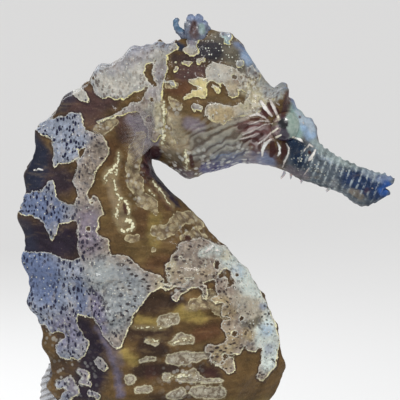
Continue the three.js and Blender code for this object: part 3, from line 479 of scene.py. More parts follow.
# tone, share, chain: laid in this order over the dark skin
GROUND = [
    # the snout's first coat
    ("pewter", 1, [(20, 0, 2.6), (23, -1, 3), (27, -3, 3.4), (31, -4, 3)]),
    # back and nape
    ("plum", 1, [(-15, -11, 3), (-11.5, -11, 2.6)]), ("plum", 0.9, [(-14.4, -3, 2.4), (-12, -3, 2)]),
    ("mauve", 0.9, [(-10, 7.4, 2), (-6, 8, 1.6)]), ("mauve", 0.7, [(-8, 5.6, 1.6)]),
    ("slate", 0.8, [(-16.8, -12, 1.6), (-17.4, -9, 1.4)]),
    ("slate", 1, [(-16.4, 2.8, 1.2), (-15, 0.4, 1.4), (-16, -3.4, 1.4)]), ("plum", 0.7, [(-13.2, 0, 0.9)]),
    ("slate", 0.7, [(-12.6, 7.4, 1.4), (-10, 9.6, 1)]),
    # lower back
    ("plum", 1, [(-9.6, -22.4, 1.6), (-8, -25, 1.6), (-8, -28.6, 1.8), (-9.4, -32, 2)]),
    ("dusk", 0.6, [(-12, -27.8, 1.6)]),
    # throat and upper flank
    ("olive", 0.9, [(-2, -6, 1.6), (-1, -9, 2), (-1.6, -12, 2)]),
    ("russet", 0.5, [(-5.5, 1.5, 1.4), (-5, -0.5, 1)]), ("gold", 0.5, [(0.4, -8, 0.9), (0.4, -11, 0.9)]),
    ("russet", 0.5, [(-1.4, -7.4, 1), (-1.8, -9.6, 1)]),
    ("russet", 0.6, [(0, -14, 0.9), (1.8, -13.6, 0.9)]),
    ("tan", 0.4, [(-5.6, -2, 0.9), (-5, -4.5, 0.7), (-4, -8.4, 0.9)]), ("olive", 0.8, [(-6.6, -8, 1)]),
    # throat's edge and neck
    ("plum", 1, [(1, 1.2, 0.5), (0, 0.4, 1), (-0.4, -1, 0.9), (0.8, -2.8, 0.7), (2.2, -4.6, 0.5),
                 (3.4, -6.2, 0.3)]),
    ("maroon", 0.6, [(0.4, 1.2, 0.8), (-0.8, -0.6, 0.6), (-0.8, -2.6, 0.6), (1, -4.4, 0.5),
                     (2.4, -6.4, 0.5)]),
    ("mauve", 0.7, [(-4.2, 4.8, 0.9), (-3.8, 3, 0.8)]),
    ("lilac", 1, [(-2.9, 5.2, 0.7), (-1.6, 4.6, 1), (-1.2, 3.2, 1), (0.4, 2.6, 0.8)]),
    ("russet", 1, [(-0.4, 5.2, 0.5)]),
    # crown's front
    ("stone", 0.7, [(9, 15, 2), (11, 14.4, 1.6)]),
    ("mist", 0.9, [(11.4, 15.2, 0.5), (12, 14.4, 0.6), (12.7, 13.2, 0.6)]),
    # lower flank
    ("dusk", 0.9, [(-3, -19.4, 1.4), (1, -19.3, 1.3), (4, -19, 0.6)]),
    ("dusk", 0.9, [(-2.4, -23.3, 1), (2, -22.9, 1)]), ("dusk", 1, [(-1, -25.3, 1), (1.4, -25.4, 0.9)]),
    ("dusk", 1, [(-1.6, -28.2, 1.1), (3, -27.9, 0.8)]),
    ("dusk", 0.9, [(-1, -24.3, 0.9), (0, -24.2, 0.9), (1.4, -23.8, 0.9)]),
    ("dusk", 0.8, [(0.4, -32.6, 1.4), (5, -32.6, 1.2)]), ("maroon", 0.4, [(0, -28.6, 1)]),
    ("dusk", 1, [(6.4, -28, 0.8), (8.4, -28.8, 1)]), ("maroon", 0.5, [(7.8, -28.7, 1)]),
    ("gold", 0.8, [(-2, -21.4, 0.5), (1.5, -21.9, 0.5), (4, -20.5, 0.8), (6.6, -21.3, 0.8)]),
    ("gold", 0.8, [(-3.8, -25.8, 0.7), (-2.4, -27, 0.6)]),
    ("tan", 0.5, [(5, -19.7, 0.6), (7.8, -19.2, 0.7)]),
    ("russet", 0.8, [(6.5, -23.4, 1.2), (8.3, -22.8, 1)]),
    ("olive", 0.6, [(5, -25.3, 0.5), (7.6, -24.8, 0.4)]),
    # painted shadow in violet along the side ridge, hugging the saddle's tip
    ("violet shade", 0.7, [(-7.4, -22.4, 0.35), (-6, -24.8, 0.3), (-5.3, -26.8, 0.35), (-4.6, -28.8, 0.45),
                   (-4.2, -31.4, 0.6)]),
    ("lilac", 0.45, [(-5, -25, 0.5), (-4.4, -27, 0.7)]),
    # crown
    ("coal", 1, [(6.4, 14.6, 1.1), (8.2, 14.4, 1.5)]), ("sage", 0.9, [(10.6, 14.2, 1.1), (11.6, 12, 1)]),
    ("sage", 0.7, [(8.4, 16.4, 0.7)]), ("plum", 0.7, [(3.3, 13.2, 0.9), (5.6, 13.4, 0.6)]),
    ("mauve", 0.9, [(4, 11.4, 1.2), (6.3, 11.8, 1)]), ("russet", 0.9, [(2.8, 9.4, 0.9), (4.2, 9.4, 1)]),
    ("navy", 0.9, [(3.4, 15.1, 0.6), (4.2, 14.8, 0.4)]),
    ("olive", 0.7, [(8, 7.9, 0.7), (10, 7.3, 0.7), (12.3, 8.4, 0.6)]), ("gold", 0.5, [(1.8, 14.2, 0.4)]),
    # gill edge and cheek
    ("almond", 0.8, [(1.8, 5.4, 0.5), (2.4, 3.4, 0.8), (1.6, 2, 0.5)]),
    ("tan", 0.7, [(3, 6, 1.2), (2.2, 4, 1.3), (3, 2.2, 1.5), (5, 1.8, 1.1)]),
    ("olive", 0.8, [(4.4, 6.2, 0.7), (2, 6.8, 0.5)]), ("cream", 0.3, [(2.8, 4.8, 0.9), (3.8, 2.8, 1)]),
    ("almond", 0.8, [(8.6, 4.3, 0.5), (10.6, 4.8, 0.5)]),
    ("lilac", 0.9, [(4.8, 4.8, 0.8), (6.3, 4.2, 0.9)]), ("gold", 0.6, [(1.9, 4.6, 0.3), (2, 3, 0.3)]),
    ("stone", 0.7, [(6, 2.6, 1), (9, 2.6, 1.2), (11, 3, 1)]),
    ("ash", 0.6, [(6, 0.6, 1), (9, 1.4, 1), (12, 1.4, 0.9)]),
    ("sage", 0.6, [(2.4, 0.6, 0.9), (4, -0.2, 0.8)]), ("lilac", 0.9, [(3.4, -1.8, 0.6), (5, -2.2, 0.6)]),
    # jaw
    ("indigo", 1, [(7.2, -1.3, 0.8), (9, -1, 0.8), (11.4, -0.6, 0.7), (13, -0.6, 0.6)]),
    ("ash", 0.8, [(9.4, 0.2, 0.6), (11.6, 0.4, 0.6)]), ("sky", 0.5, [(8.2, 0.1, 0.5), (10, 0.2, 0.4)]),
    # folds behind the eye
    ("wine", 0.9, [(12, 4.4, 0.9), (13.6, 3.8, 1.1), (15, 3.6, 1), (14, 2.4, 0.9)]),
    ("maroon", 0.5, [(11.9, 4.3, 0.4), (12.7, 4.3, 0.4)]),
    ("wine", 0.8, [(14.6, 6.2, 0.8), (16, 6.6, 0.7)]),
    ("almond", 0.7, [(11.6, 5.6, 0.6), (13.4, 6.3, 0.5)]),
    # jaw once more
    ("frost", 0.4, [(9, 0.2, 0.6), (11.4, 0.4, 0.6)]),
    ("violet", 0.9, [(7, -1.2, 0.5), (9, -1, 0.5), (11.4, -0.5, 0.5)]),
    ("mist", 0.9, [(9, 0, 0.6), (12.6, 0.2, 0.7), (15.4, 0.2, 0.9)]),
    ("lilac", 0.6, [(14, 0.6, 0.9), (13, -0.2, 0.9), (16, -0.8, 0.9)]),
    ("mist", 0.6, [(14.6, 0, 0.7), (16.2, -0.4, 0.6)]), ("violet", 0.35, [(8.6, -0.4, 0.7), (11, 0, 0.7)]),
    # brow, and under the eye
    ("cream", 0.8, [(12.4, 9.4, 1), (14.4, 10.2, 0.8), (16.3, 8.6, 0.9)]),
    ("ash", 0.7, [(13.4, 12, 0.9), (14.8, 10.6, 0.8)]), ("sky", 0.5, [(12.6, 13.6, 0.8), (14, 12, 0.7)]),
    ("maroon", 0.8, [(16.2, 1.2, 0.5), (17.6, 0.9, 0.5)]),
    ("russet", 0.6, [(15.6, 0.9, 0.3), (16.9, -0.2, 0.5)]),
    ("almond", 0.8, [(15.8, 8, 0.9), (16.6, 8.6, 0.6)]),
    ("ash", 1, [(15.4, 9.6, 0.5), (16.4, 9.3, 0.5), (17.2, 9.5, 0.7), (17.9, 10.2, 0.9)]),
    ("mist", 0.8, [(17.9, 9.9, 0.4)]),
    # brow spine and nose
    ("mauve", 1, [(18, 8.6, 0.34), (17.85, 7.4, 0.42), (17.6, 6, 0.42)]),
    ("russet", 0.5, [(17.9, 7.6, 0.3)]), ("frost", 0.8, [(16.8, 8.2, 0.3)]),
    ("green", 1, [(19.2, 7, 0.8), (19.3, 5, 1.2), (19.4, 3.6, 0.9)]),
    ("sky", 0.9, [(20.6, 4.6, 1), (21.2, 3.2, 0.8)]),
    ("mist", 0.9, [(18.7, 8.6, 0.4), (18.9, 7.8, 0.4), (19.3, 7, 0.4)]),
    ("frost", 0.9, [(19.5, 6.2, 0.4), (20.1, 5.2, 0.5), (20.8, 4.8, 0.5), (21.3, 4, 0.5)]),
    # under the nose
    ("ink", 0.8, [(18, 3.2, 0.6), (18.2, 2.2, 0.5)]),
    ("navy", 1, [(18.6, 2.4, 0.6), (19.4, 1.4, 1), (19.8, 0, 1.1), (20.8, -0.6, 0.8)]),
    ("steel", 0.5, [(20.4, 0.2, 0.4)]), ("lilac", 0.6, [(18.4, -1.6, 0.7), (20.6, -2.2, 0.5)]),
    # snout
    ("pewter", 1, [(21.4, 0.6, 1), (22.6, -1, 1.7), (24.6, -1.8, 1.7), (26.4, -2.4, 1.2)]),
    ("frost", 1, [(22, 1.6, 0.7), (23.2, 0.8, 0.8), (24.2, 0, 0.6)]),
    ("silver", 0.9, [(21.6, 2.2, 0.5), (23, 1.2, 0.8), (25, 0.2, 0.8), (27, -0.8, 0.7), (29, -1.6, 0.6),
                     (31, -2.2, 0.5)]),
    ("steel", 1, [(26.4, -2.6, 1.3), (28.4, -3.2, 1.6), (30, -3.6, 1.3)]),
    ("ash", 0.6, [(24.3, -3.1, 0.5), (24.5, -4, 0.4)]),
    ("pink", 0.8, [(26.4, -4.2, 0.3), (27.7, -4.9, 0.5)]), ("maroon", 0.5, [(28.7, -4.3, 0.4)]),
    ("frost", 0.5, [(28.4, -1.8, 0.4), (30.2, -2.6, 0.5)]),
    # lips
    ("mist", 1, [(30.6, -2.6, 0.6), (31.6, -2.4, 0.5)]),
    # painted blue reflection on the lips
    ("reflected blue", 1, [(31.2, -3.5, 0.6), (30.8, -4.4, 0.8)]),
    ("steel", 1, [(29.6, -5, 0.5), (30.4, -5.4, 0.5)]), ("navy", 0.7, [(29.2, -5.9, 0.6)]),
]
# the same over the pale patches
COVER = [
    # nape
    ("bone", 1, [(-6, 10, 2), (-3, 11, 3), (0, 13.4, 1.6)]), ("bone", 1, [(-11, 9.6, 1.2), (-9, 8, 0.9)]),
    # a little painted violet shade on the nape
    ("violet shade", 0.35, [(-1, 14.4, 1.2), (-5, 12, 0.9)]),
    # shield, star and strip
    ("cloud", 1, [(-14, 3.8, 2), (-11.4, 2.4, 3)]), ("putty", 0.8, [(-7.6, 1.4, 1), (-8.9, -2.6, 1.2)]),
    ("shadow", 0.9, [(-16, -5.6, 2), (-13.6, -7, 2.2)]), ("cloud", 0.5, [(-11, -7, 1)]),
    ("lilac", 1, [(-8.6, -8, 1.6), (-8.4, -11, 1.8)]),
    # great saddle and lower back
    ("shadow", 1, [(-16, -14.6, 3), (-13, -17, 3)]), ("cloud", 0.8, [(-10.6, -15, 1.6), (-11, -18.6, 1.4)]),
    ("shadow", 0.8, [(-9.4, -16.4, 0.9), (-9.2, -21, 0.9)]),
    ("ash", 1, [(-6.6, -15.6, 2.6), (-3.4, -17.6, 2.6), (-5, -21.4, 1.8)]),
    ("ice", 0.15, [(-6.6, -15.4, 1.4)]),
    # painted shadow in violet along the side ridge over the saddle's edge, and painted violet shade over
    # the lower back
    ("violet shade", 0.8, [(-7.6, -18.4, 0.7), (-7.2, -20.6, 0.7), (-6.4, -22.8, 0.5)]),
    ("violet shade", 0.7, [(-11.4, -23, 2.4)]), ("lilac", 0.7, [(-9.5, -29.6, 2.4)]),
    # belly net
    ("cream", 0.6, [(2.6, -14, 0.8), (1.4, -16.8, 0.9)]), ("buff", 0.4, [(4, -15.4, 1.2), (7.4, -15.6, 1)]),
    ("pink", 0.9, [(4.6, -14.8, 1.1), (6.6, -13.6, 1)]),
    ("putty", 0.8, [(6.4, -16.4, 0.8), (8.4, -17.6, 1.2)]),
    ("buff", 0.8, [(8, -18.8, 1), (9.4, -19.4, 1), (10.4, -20.6, 1)]), ("tan", 0.4, [(9.8, -22, 1.2)]),
    ("buff", 0.8, [(10.6, -24.2, 1.2), (9, -25.8, 1.1), (9.4, -27.4, 0.9)]),
    # belly's ridge
    ("ice", 1, [(8.6, -11.8, 0.7), (10, -13.4, 1), (12.2, -15.6, 1.1), (13.6, -19, 1.4), (15.2, -23, 1.6),
                (15.6, -27, 1.4)]),
    ("ice", 0.9, [(6.6, -12.5, 0.5), (8.2, -12, 0.7)]), ("cream", 0.6, [(9.8, -12.9, 0.7)]),
    ("sky", 0.4, [(11.4, -15, 0.9)]), ("almond", 1, [(11.7, -18.8, 1), (13.2, -20.2, 1.9)]),
    ("mist", 0.6, [(14.8, -19.6, 0.5)]), ("sky", 0.5, [(15.3, -22.8, 0.9)]),
    ("sage", 1, [(14.2, -21.5, 0.5), (13.2, -22.1, 0.5), (12.2, -22.1, 0.4)]),
    ("buff", 0.8, [(12.8, -23.4, 0.9)]), ("cloud", 0.7, [(15.6, -25.4, 0.7)]),
    # head
    ("almond", 1, [(4, 13, 2.4), (7, 11, 3), (10, 10, 3.4), (13, 9, 3), (16, 8, 2)]),
    ("almond", 0.8, [(8, 6, 1.6), (12, 6.6, 1.6)]), ("bone", 0.8, [(8.4, 11.5, 1.2), (9.6, 11.1, 1.2)]),
    ("green", 0.8, [(9.7, 15.8, 0.7)]), ("putty", 0.7, [(4.8, 12.8, 0.6), (2.9, 12, 0.6)]),
    ("bone", 0.8, [(1.2, 13.4, 1), (0.6, 8.6, 1), (0.2, 6, 1.4)]),
    ("lilac", 0.5, [(1.2, 12.2, 0.7), (-0.3, 8, 0.7)]),
    ("cream", 0.8, [(0.9, 7, 0.6), (1.1, 5.6, 0.7), (1, 4, 0.8)]), ("lilac", 0.7, [(5, 15.6, 0.6)]),
    ("butter", 1, [(6.2, 9.5, 1.2), (5, 8.3, 0.5), (8.6, 9.4, 0.5)]),
    ("buff", 0.9, [(8.6, 5.8, 1.2), (10.2, 6, 0.9)]), ("buff", 0.5, [(10.6, 9.6, 0.9)]),
    ("russet", 0.5, [(11.3, 10.5, 0.5)]),
    ("cream", 0.8, [(12.4, 7.4, 0.9), (14, 8.2, 1.1), (13.4, 9.8, 1)]),
    ("ash", 0.8, [(12, 12.6, 0.8), (13.4, 11.6, 0.6)]),
    ("ash", 0.9, [(14.8, 10.2, 0.7), (15.6, 9.2, 0.9), (16.8, 8.8, 0.8)]),
]
# soft round areas (x, z, radius, strength)
AREAS = {
    "smooth": [  # where the patches have few pits
        (-10.4, 9.2, 1.4, 0.9), (-6, -15.4, 2, 1), (-4.6, 11, 2.4, 0.75), (-1.6, 13, 1.8, 0.75),
        (5.4, -14.6, 1.6, 0.5), (9.6, -13.6, 1.6, 0.5), (11, -21, 2, 0.4), (-8.6, -8, 1.6, 0.9),
        (-14.5, -15.5, 2, 0.9), (9.4, 11.6, 1.8, 0.8), (-0.6, 5.6, 1.6, 0.7), (0.6, 9, 1.2, 0.7),
        (5, 15, 1.2, 0.8), (9.8, 15.8, 1, 0.6), (5.8, 9.2, 1.6, 0.8), (3.6, 12.6, 1.4, 0.9),
        (5, -14.6, 1, 0.5), (1.2, 12.6, 1.4, 0.8), (8.6, 11.4, 1.4, 0.9), (10.6, 9.6, 1, 0.7),
        (5.8, 9.4, 1.4, 0.7), (14, 8.4, 1.4, 0.5), (-4.6, -18.4, 0.6, 0.3), (13, -16, 2, 0.4),
        (-1, 6, 1, 0.5), (8.8, 5.8, 1.6, 0.9), (11, 6.4, 1.4, 0.8), (13.2, 7.8, 1.6, 0.7),
        (13.2, -18, 2, 0.9), (11.8, -14.6, 1.4, 0.8), (15, -24, 2.2, 0.9), (8.4, -12.2, 1.4, 0.7),
    ],
    "points": [  # fine bone-white points of the crown and the snout
        (9.6, 14.6, 2.2, 1), (7.3, 14.2, 1.4, 1), (20.4, 0.2, 1.6, 1), (22.4, -1.2, 1.6, 1),
        (24.6, -2.2, 1.4, 0.7), (11.4, 12.6, 1, 0.6), (4.4, 11, 1.2, 0.4),
    ],
    "folds": [  # the cheek's wavy folds
        (8, 2, 3, 1), (11, 3.2, 2.4, 1), (5.8, 1, 1.8, 0.7), (13.4, 3.4, 1.8, 1), (15, 2.6, 1.2, 0.7),
        (12.6, 1, 1.6, 0.7),
    ],
    # knobs raised in the relief; the finish paints a highlight on each and shade between them
    "sparks": [  # bright knobs
        (3.4, -1.2, 1.2, 1), (5.6, -1.6, 1.2, 1), (8, -0.9, 1.1, 1), (10.4, -0.4, 1.2, 1),
        (12.6, -0.4, 1.2, 0.9), (12, 1, 1.2, 0.8), (13.8, 0.6, 1, 0.8), (7, 0.6, 1.2, 0.6),
        (4.6, 0.4, 1.2, 0.7), (2, 1.6, 1, 0.7), (1.8, 4, 1, 0.7), (3, 6.6, 0.9, 0.5), (-2.4, -2, 1.2, 0.7),
        (-1.4, -5, 1, 0.6), (-3.4, 12.4, 2, 0.2), (0, 13.4, 1.2, 0.3), (-13, -22.6, 2, 0.6),
        (-10.6, -29, 2.4, 0.7), (4, -29, 2.4, 0.4), (13.4, 11, 1.2, 0.8), (14.2, 7.8, 1.4, 0.6),
        (12.4, 9.4, 1.2, 0.6), (10, 6, 1, 0.4), (5, -9, 1.4, 0.5), (8.4, -12.4, 1.6, 0.7),
        (11, -14.6, 1.6, 0.5), (-6.6, 4.6, 1, 0.5), (3.4, -17.6, 0.9, 0.6), (1.4, -10, 1, 0.5),
    ],
    # domes raised in the relief, with painted shade in the gaps and a painted highlight ring on each
    "net": [  # domes with gaps between them
        (3.4, -14.6, 1.4, 0.8), (5.6, -13.6, 1.8, 1), (8, -13.4, 1.6, 0.8), (5.6, -16.6, 1.2, 0.7),
        (9.6, -16.6, 1.6, 1), (10.6, -20.4, 1.8, 1), (10.6, -23.8, 1.8, 1), (9, -26.6, 1.6, 1),
    ],
    "melt": [  # where a patch has no crisp edge
        (9, 4.8, 1, 0.8), (11, 5.2, 1.2, 1), (13.2, 6.4, 1.2, 1), (15.6, 8.6, 1.6, 1), (17, 8.8, 1.4, 1),
        (14.4, 10.4, 1.6, 0.8), (12.6, 11, 1.2, 0.5), (-0.4, 9, 0.8, 0.4),
    ],
    "ribbed": [  # the snout's broken ribs
        (20.6, 0, 1.4, 0.6), (22.4, -0.6, 1.8, 1), (24.6, -1.4, 1.8, 1), (26.8, -2, 1.6, 0.9),
        (28.6, -2.2, 1.4, 0.9), (22.8, -2.6, 1.2, 0.8), (30.2, -2.6, 1, 0.7), (25, -3.6, 1.2, 0.7),
        (27.4, -4, 1.4, 0.7), (29.6, -4.4, 1.2, 0.6),
    ],
}
# where the streaks shine
SHINE = [
    (8.4, -11.8, 1.4, 0.7), (15, 1.4, 1.1, 1), (17.2, 1.2, 0.8, 1), (18.2, 0.6, 0.9, 0.8),
    (14.9, 7, 0.9, 0.8), (19.6, 2.6, 0.9, 1), (21.4, 0.8, 1.1, 0.8), (-15.2, -1.4, 0.8, 0.8),
    (13.6, 5.9, 0.6, 0.4), (16.4, 7, 0.5, 0.4),
]


# mm over which a fine line's edge melts, and the step ahead and down that finds the patch edges whose rims
# are painted as lit
CRISP, LIT_STEP = 0.04, 0.3


def blots(x, z, chains, melt=0.1):
    """Signed depth in mm inside a set of chains: the smooth maximum of radius minus distance."""
    total = np.zeros_like(x)
    for chain in chains:
        links = list(zip(chain, chain[1:])) or [(chain[0], chain[0])]
        for (x0, z0, r0), (x1, z1, r1) in links:
            length = (x1 - x0) ** 2 + (z1 - z0) ** 2
            t = ((x - x0) * (x1 - x0) + (z - z0) * (z1 - z0)) / length if length else 0 * x
            t = np.clip(t, 0, 1)
            distance = np.hypot(x - lerp(x0, x1, t), z - lerp(z0, z1, t))
            total += np.exp(np.clip((lerp(r0, r1, t) - distance) / melt, -40, 40))
    return melt * np.log(total + 1e-12)


def pale_depth(x, z):
    """Signed depth in mm inside the pale patches, outside their gaps."""
    return np.minimum(blots(x, z, PALE), -blots(x, z, HOLES))


def fine_lines(x, z):
    """The bright streaks and the dark lines, whose edges are crisp."""
    return {
        "streak": np.clip(blots(x, z, STREAKS, CRISP), -1, 1),
        "shade": np.clip(blots(x, z, SHADE, CRISP), -1, 1),
    }


def soft(x, z, areas):
    """Strength from 0 to 1 of something laid over soft round areas."""
    left = np.ones_like(x)
    for x0, z0, radius, strength in areas:
        left *= 1 - strength * bell(np.hypot(x - x0, z - z0), radius)
    return 1 - left


def tone(name):
    """A named tone as linear light."""
    return np.array(rgb(*TONES[name])[:3])


def washed(x, z, colour, layers):
    """Linear colours (..., 3) after each tone is laid over its chain, fading out across its edge."""
    for name, share, chain in layers:
        fade = 0.5 * np.mean([r for _, _, r in chain])
        amount = share * ease(-fade, fade, blots(x, z, [chain], 0.5 * fade))
        colour = lerp(colour, tone(name), amount[..., None])
    return colour


def drawn_at(points):
    """x and z of the drawing at body points: thrown on each flank from afar, from a little above."""
    d = DRAWING
    x, near, z = points[..., 0] - d["x"], np.abs(points[..., 1]), points[..., 2] - d["z"]
    lean = np.radians(d["lean"])
    toward = near * np.cos(lean) + z * np.sin(lean)
    size = d["distance"] / (d["distance"] - toward)
    return d["x"] + x * size, d["z"] + (z * np.cos(lean) - near * np.sin(lean)) * size


def wandered(points):
    """The drawing's x and z, shifted a little so that every outline is scalloped."""
    x, z = drawn_at(points)
    x = x + 0.13 * lumps(points, 1.3, 1) + 0.1 * lumps(points, 0.6, 2)
    z = z + 0.13 * lumps(points, 1.3, 3) + 0.1 * lumps(points, 0.6, 4)
    return x, z


def beyond_drawing(ring, points):
    """0 on the head and trunk, 1 on the last trunk rings and the tail, whose markings are free."""
    return ease(-31, -33.5, points[..., 2]) * ease(10.2, 10.9, ring)


def patches(ring, girth, points):
    """Signed depth in mm inside the pale patches, the knobbly flesh and the ovals."""
    x, z = wandered(points)
    beyond = beyond_drawing(ring, points)
    saddle = bell(girth, 0.34) * np.cos(2 * np.pi * (ring - 10.4) / 4.2)
    uneven = 0.55 * lumps(points, 9, 5) + 0.5 * lumps(points, 4, 6) + 0.3 * lumps(points, 2, 7)
    small = 0.7 * lumps(points, 3, 14) + 0.4 * lumps(points, 1.5, 15) - 0.55
    slim = np.clip(1.15 - (ring - TAIL_START) / 40, 0.3, 1)
    free = {"pale": (uneven + 0.9 * saddle - 0.25) * slim, "flesh": -1, "oval": small * slim}
    drawn = {"pale": pale_depth(x, z), "flesh": blots(x, z, FLESH), "oval": blots(x, z, OVALS)}
    return {name: np.clip(lerp(drawn[name], free[name], beyond), -1, 1) for name in drawn}


def markings(ring, girth, points):
    """All that the skin's colours follow at each body point: signed fields, shares and tints."""
    x, z = wandered(points)
    beyond = beyond_drawing(ring, points)
    fallen = pale_depth(x, z) - pale_depth(x + LIT_STEP, z - LIT_STEP)
    plain = drawn_at(points)
    far = beyond[..., None]
    dark = lerp(tone("dusk"), tone("gold"), ease(-0.4, 0.8, lumps(points, 6, 8))[..., None])
    dark = lerp(dark, tone("plum"), ease(0.45, 0.1, girth)[..., None] * 0.8)
    light = lerp(tone("putty"), tone("cloud"), ease(0.6, 0.2, girth)[..., None])
    return {
        **patches(ring, girth, points),
        # facing: 1 on patch edges that face ahead and down, where the rims are painted as lit
        "facing": ease(0, 0.25, fallen),
        "bead": np.clip(lerp(blots(x, z, BEADS, CRISP), -1, beyond), -1, 1),
        **fine_lines(*plain),
        **{name: soft(x, z, areas) for name, areas in AREAS.items()},
        "shine": soft(*plain, SHINE),
        "head": ease(3.2, 2.2, ring),
        "ground": lerp(washed(x, z, tone("umber"), GROUND), dark, far),
        "cover": lerp(washed(x, z, light, COVER), light, far),
    }


# ---------------- meshes

def faces_of(rows, columns, first=0):
    """Quads of a grid whose rows are closed loops."""
    r, c = np.meshgrid(np.arange(rows - 1), np.arange(columns), indexing="ij")
    a = first + r * columns + c
    b = first + r * columns + (c + 1) % columns
    return np.stack([a, b, b + columns, a + columns], -1).reshape(-1, 4)


def fan(loop, tip):
    """Triangles from a closed loop of vertex numbers to one tip."""
    return np.stack([loop, np.full_like(loop, tip), np.roll(loop, -1)], -1)


def capped(rows, columns):
    """Quads and triangles of a grid of closed loops that is followed by a point for each end."""
    loop, count = np.arange(columns), rows * columns
    tips = [fan(loop, count)[:, ::-1], fan(count - columns + loop, count + 1)]
    return faces_of(rows, columns), np.concatenate(tips)


def outward(points, quads, tris):
    """The same faces, turned round if the volume inside them comes out below zero."""
    halves = [quads[:, [0, 1, 2]], quads[:, [0, 2, 3]], tris]
    corners = (points - points.mean(0))[np.concatenate(halves)]
    volume = np.einsum("ij,ij->i", corners[:, 0], np.cross(corners[:, 1], corners[:, 2])).sum()
    return (quads[:, ::-1], tris[:, ::-1]) if volume < 0 else (quads, tris)


def joined(shapes, rows, columns):
    """Points, quads and triangles of several closed shapes, each a grid with two end points."""
    quads, tris = [], []
    for number, shape in enumerate(shapes):
        sides, ends = outward(shape, *capped(rows, columns))
        quads.append(sides + number * len(shape))
        tris.append(ends + number * len(shape))
    return np.concatenate(shapes), np.concatenate(quads), np.concatenate(tris)


def circle(columns):
    """Cosine and sine at even steps round a circle."""
    around = np.arange(columns) * 2 * np.pi / columns
    return np.cos(around), np.sin(around)


def globe(rows, columns):
    """A unit globe about z: a grid by the angle from the pole and the angle around, then its two poles."""
    polar = np.linspace(0, np.pi, rows + 2)[1:-1, None]
    cosine, sine = circle(columns)
    grid = np.stack(np.broadcast_arrays(np.sin(polar) * cosine, np.sin(polar) * sine, np.cos(polar)), -1)
    return np.concatenate([grid.reshape(-1, 3), [[0, 0, 1], [0, 0, -1]]])


def tube(line, radius, one, other, columns):
    """Rings of a radius round a line, each in the plane of two directions, and their outward directions."""
    cosine, sine = circle(columns)
    out = cosine[None, :, None] * one[:, None] + sine[None, :, None] * other[:, None]
    return line[:, None] + out * radius[:, None, None], out


def piece(name, points, quads, tris, slot, attributes=None, place=THROAT, replaces=()):
    """A smooth closed piece from points in body millimetres, which rides on the model."""
    points = np.asarray(points, float).reshape(-1, 3)
    quads, tris = outward(points, quads, np.asarray(tris, int).reshape(-1, 3))
    mesh = bpy.data.meshes.new(name)
    mesh.vertices.add(len(points))
    mesh.vertices.foreach_set("co", ((points + place) * MM).ravel())
    corners = np.concatenate([quads.ravel(), tris.ravel()]).astype(np.int32)
    sizes = np.concatenate([np.full(len(quads), 4), np.full(len(tris), 3)])
    mesh.loops.add(len(corners))
    mesh.loops.foreach_set("vertex_index", corners)
    mesh.polygons.add(len(sizes))
    starts = np.concatenate([[0], np.cumsum(sizes)[:-1]]).astype(np.int32)
    mesh.polygons.foreach_set("loop_start", starts)
    mesh.polygons.foreach_set("use_smooth", np.ones(len(sizes), bool))
    mesh.update(calc_edges=True)
    mesh.validate()
    for key, values in (attributes or {}).items():
        values = np.asarray(values, np.float32)
        if values.ndim > 1:
            values = np.concatenate([values, np.ones_like(values[:, :1])], 1)
            mesh.attributes.new(key, "FLOAT_COLOR", "POINT").data.foreach_set("color", values.ravel())
        else:
            mesh.attributes.new(key, "FLOAT", "POINT").data.foreach_set("value", values)
    made = bpy.data.objects.new(name, mesh)
    bpy.context.scene.collection.objects.link(made)
    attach(made, "root")
    if replaces:
        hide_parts(*replaces)
    return made


# ---------------- the skin

SKIN_COLUMNS = 216
# where the skin's rows change their spacing, and the spacings in mm
ROW_CHANGES = dict(head_end=0.3, trunk_end=12.6, middle=20)
ROW_SPACING = dict(head=0.2, trunk=0.33, root=0.4, tail=0.5)
# lining: the share of the lips' size and the depth in mm of each row inside
MOUTH = dict(
    from_ring=-7.35, corner=0.54, spread=0.13, notch=0.95, axis_rows=20,
    lining=((0.84, 0.1), (0.7, 0.6), (0.5, 1.3)), lining_rows=6, depth=1.7,
)
# heights in mm of the relief that is finer than the solids'
RELIEF = dict(
    knob=0.16, patch=0.13, oval=0.08, flesh=0.16, rough=0.05, back=0.1, tab=0.5, wrinkle=0.05,
    snout_top=0.1, snout_rib=0.045, lid=0.16, eye_pit=1.6,
)
# waves to a ring, along the snout and down the trunk
SNOUT_RIBS, WRINKLES = 3.2, 3


def even_rings(start, end, spacing):
    """Ring numbers about a spacing in mm apart, measured half way between back and belly."""
    fine = np.linspace(start, end, 2000)
    belly, back, _ = frames(fine)
    steps = np.linalg.norm(np.diff((belly + back) / 2, axis=0), axis=1)
    spread = np.linalg.norm(np.diff(back, axis=0), axis=1)
    length = np.concatenate([[0], np.cumsum(np.maximum(steps, 0.75 * spread))])
    count = int(np.ceil(length[-1] / spacing))
    return np.interp(np.linspace(0, length[-1], count + 1), length, fine)


def raised_markings(ring, girth, points):
    """Relief of the patches, the ovals, the knobbly flesh and the bright knobs of the face."""
    fields = patches(ring, girth, points)
    bright = soft(*drawn_at(points), AREAS["sparks"]) * ease(1, 0, ring)
    knobs = RELIEF["knob"] * bright * np.maximum(0, lumps(points, 1, 19))
    patch = RELIEF["patch"] * ease(-0.08, 0.12, fields["pale"])
    oval = RELIEF["oval"] * ease(-0.1, 0.15, fields["oval"])
    flesh = RELIEF["flesh"] * (0.6 + lumps(points, 1.5, 10)) * ease(-0.2, 0.2, fields["flesh"])
    return knobs + patch + oval + flesh


def back_edge(ring, girth, points):
    """Relief of the back's midline: small lumps along it, and skin tabs behind the crown."""
    uneven = lumps(points, 1.1, 16) + lumps(points, 2.3, 17)
    lumpy = RELIEF["back"] * uneven * bell(girth, 0.12) * ease(-2, 0, ring)
    nape = ease(-0.4, 0.6, ring) * ease(5, 3.5, ring)
    return lumpy + RELIEF["tab"] * np.maximum(0, lumps(points, 1.7, 20)) * bell(girth, 0.1) * nape


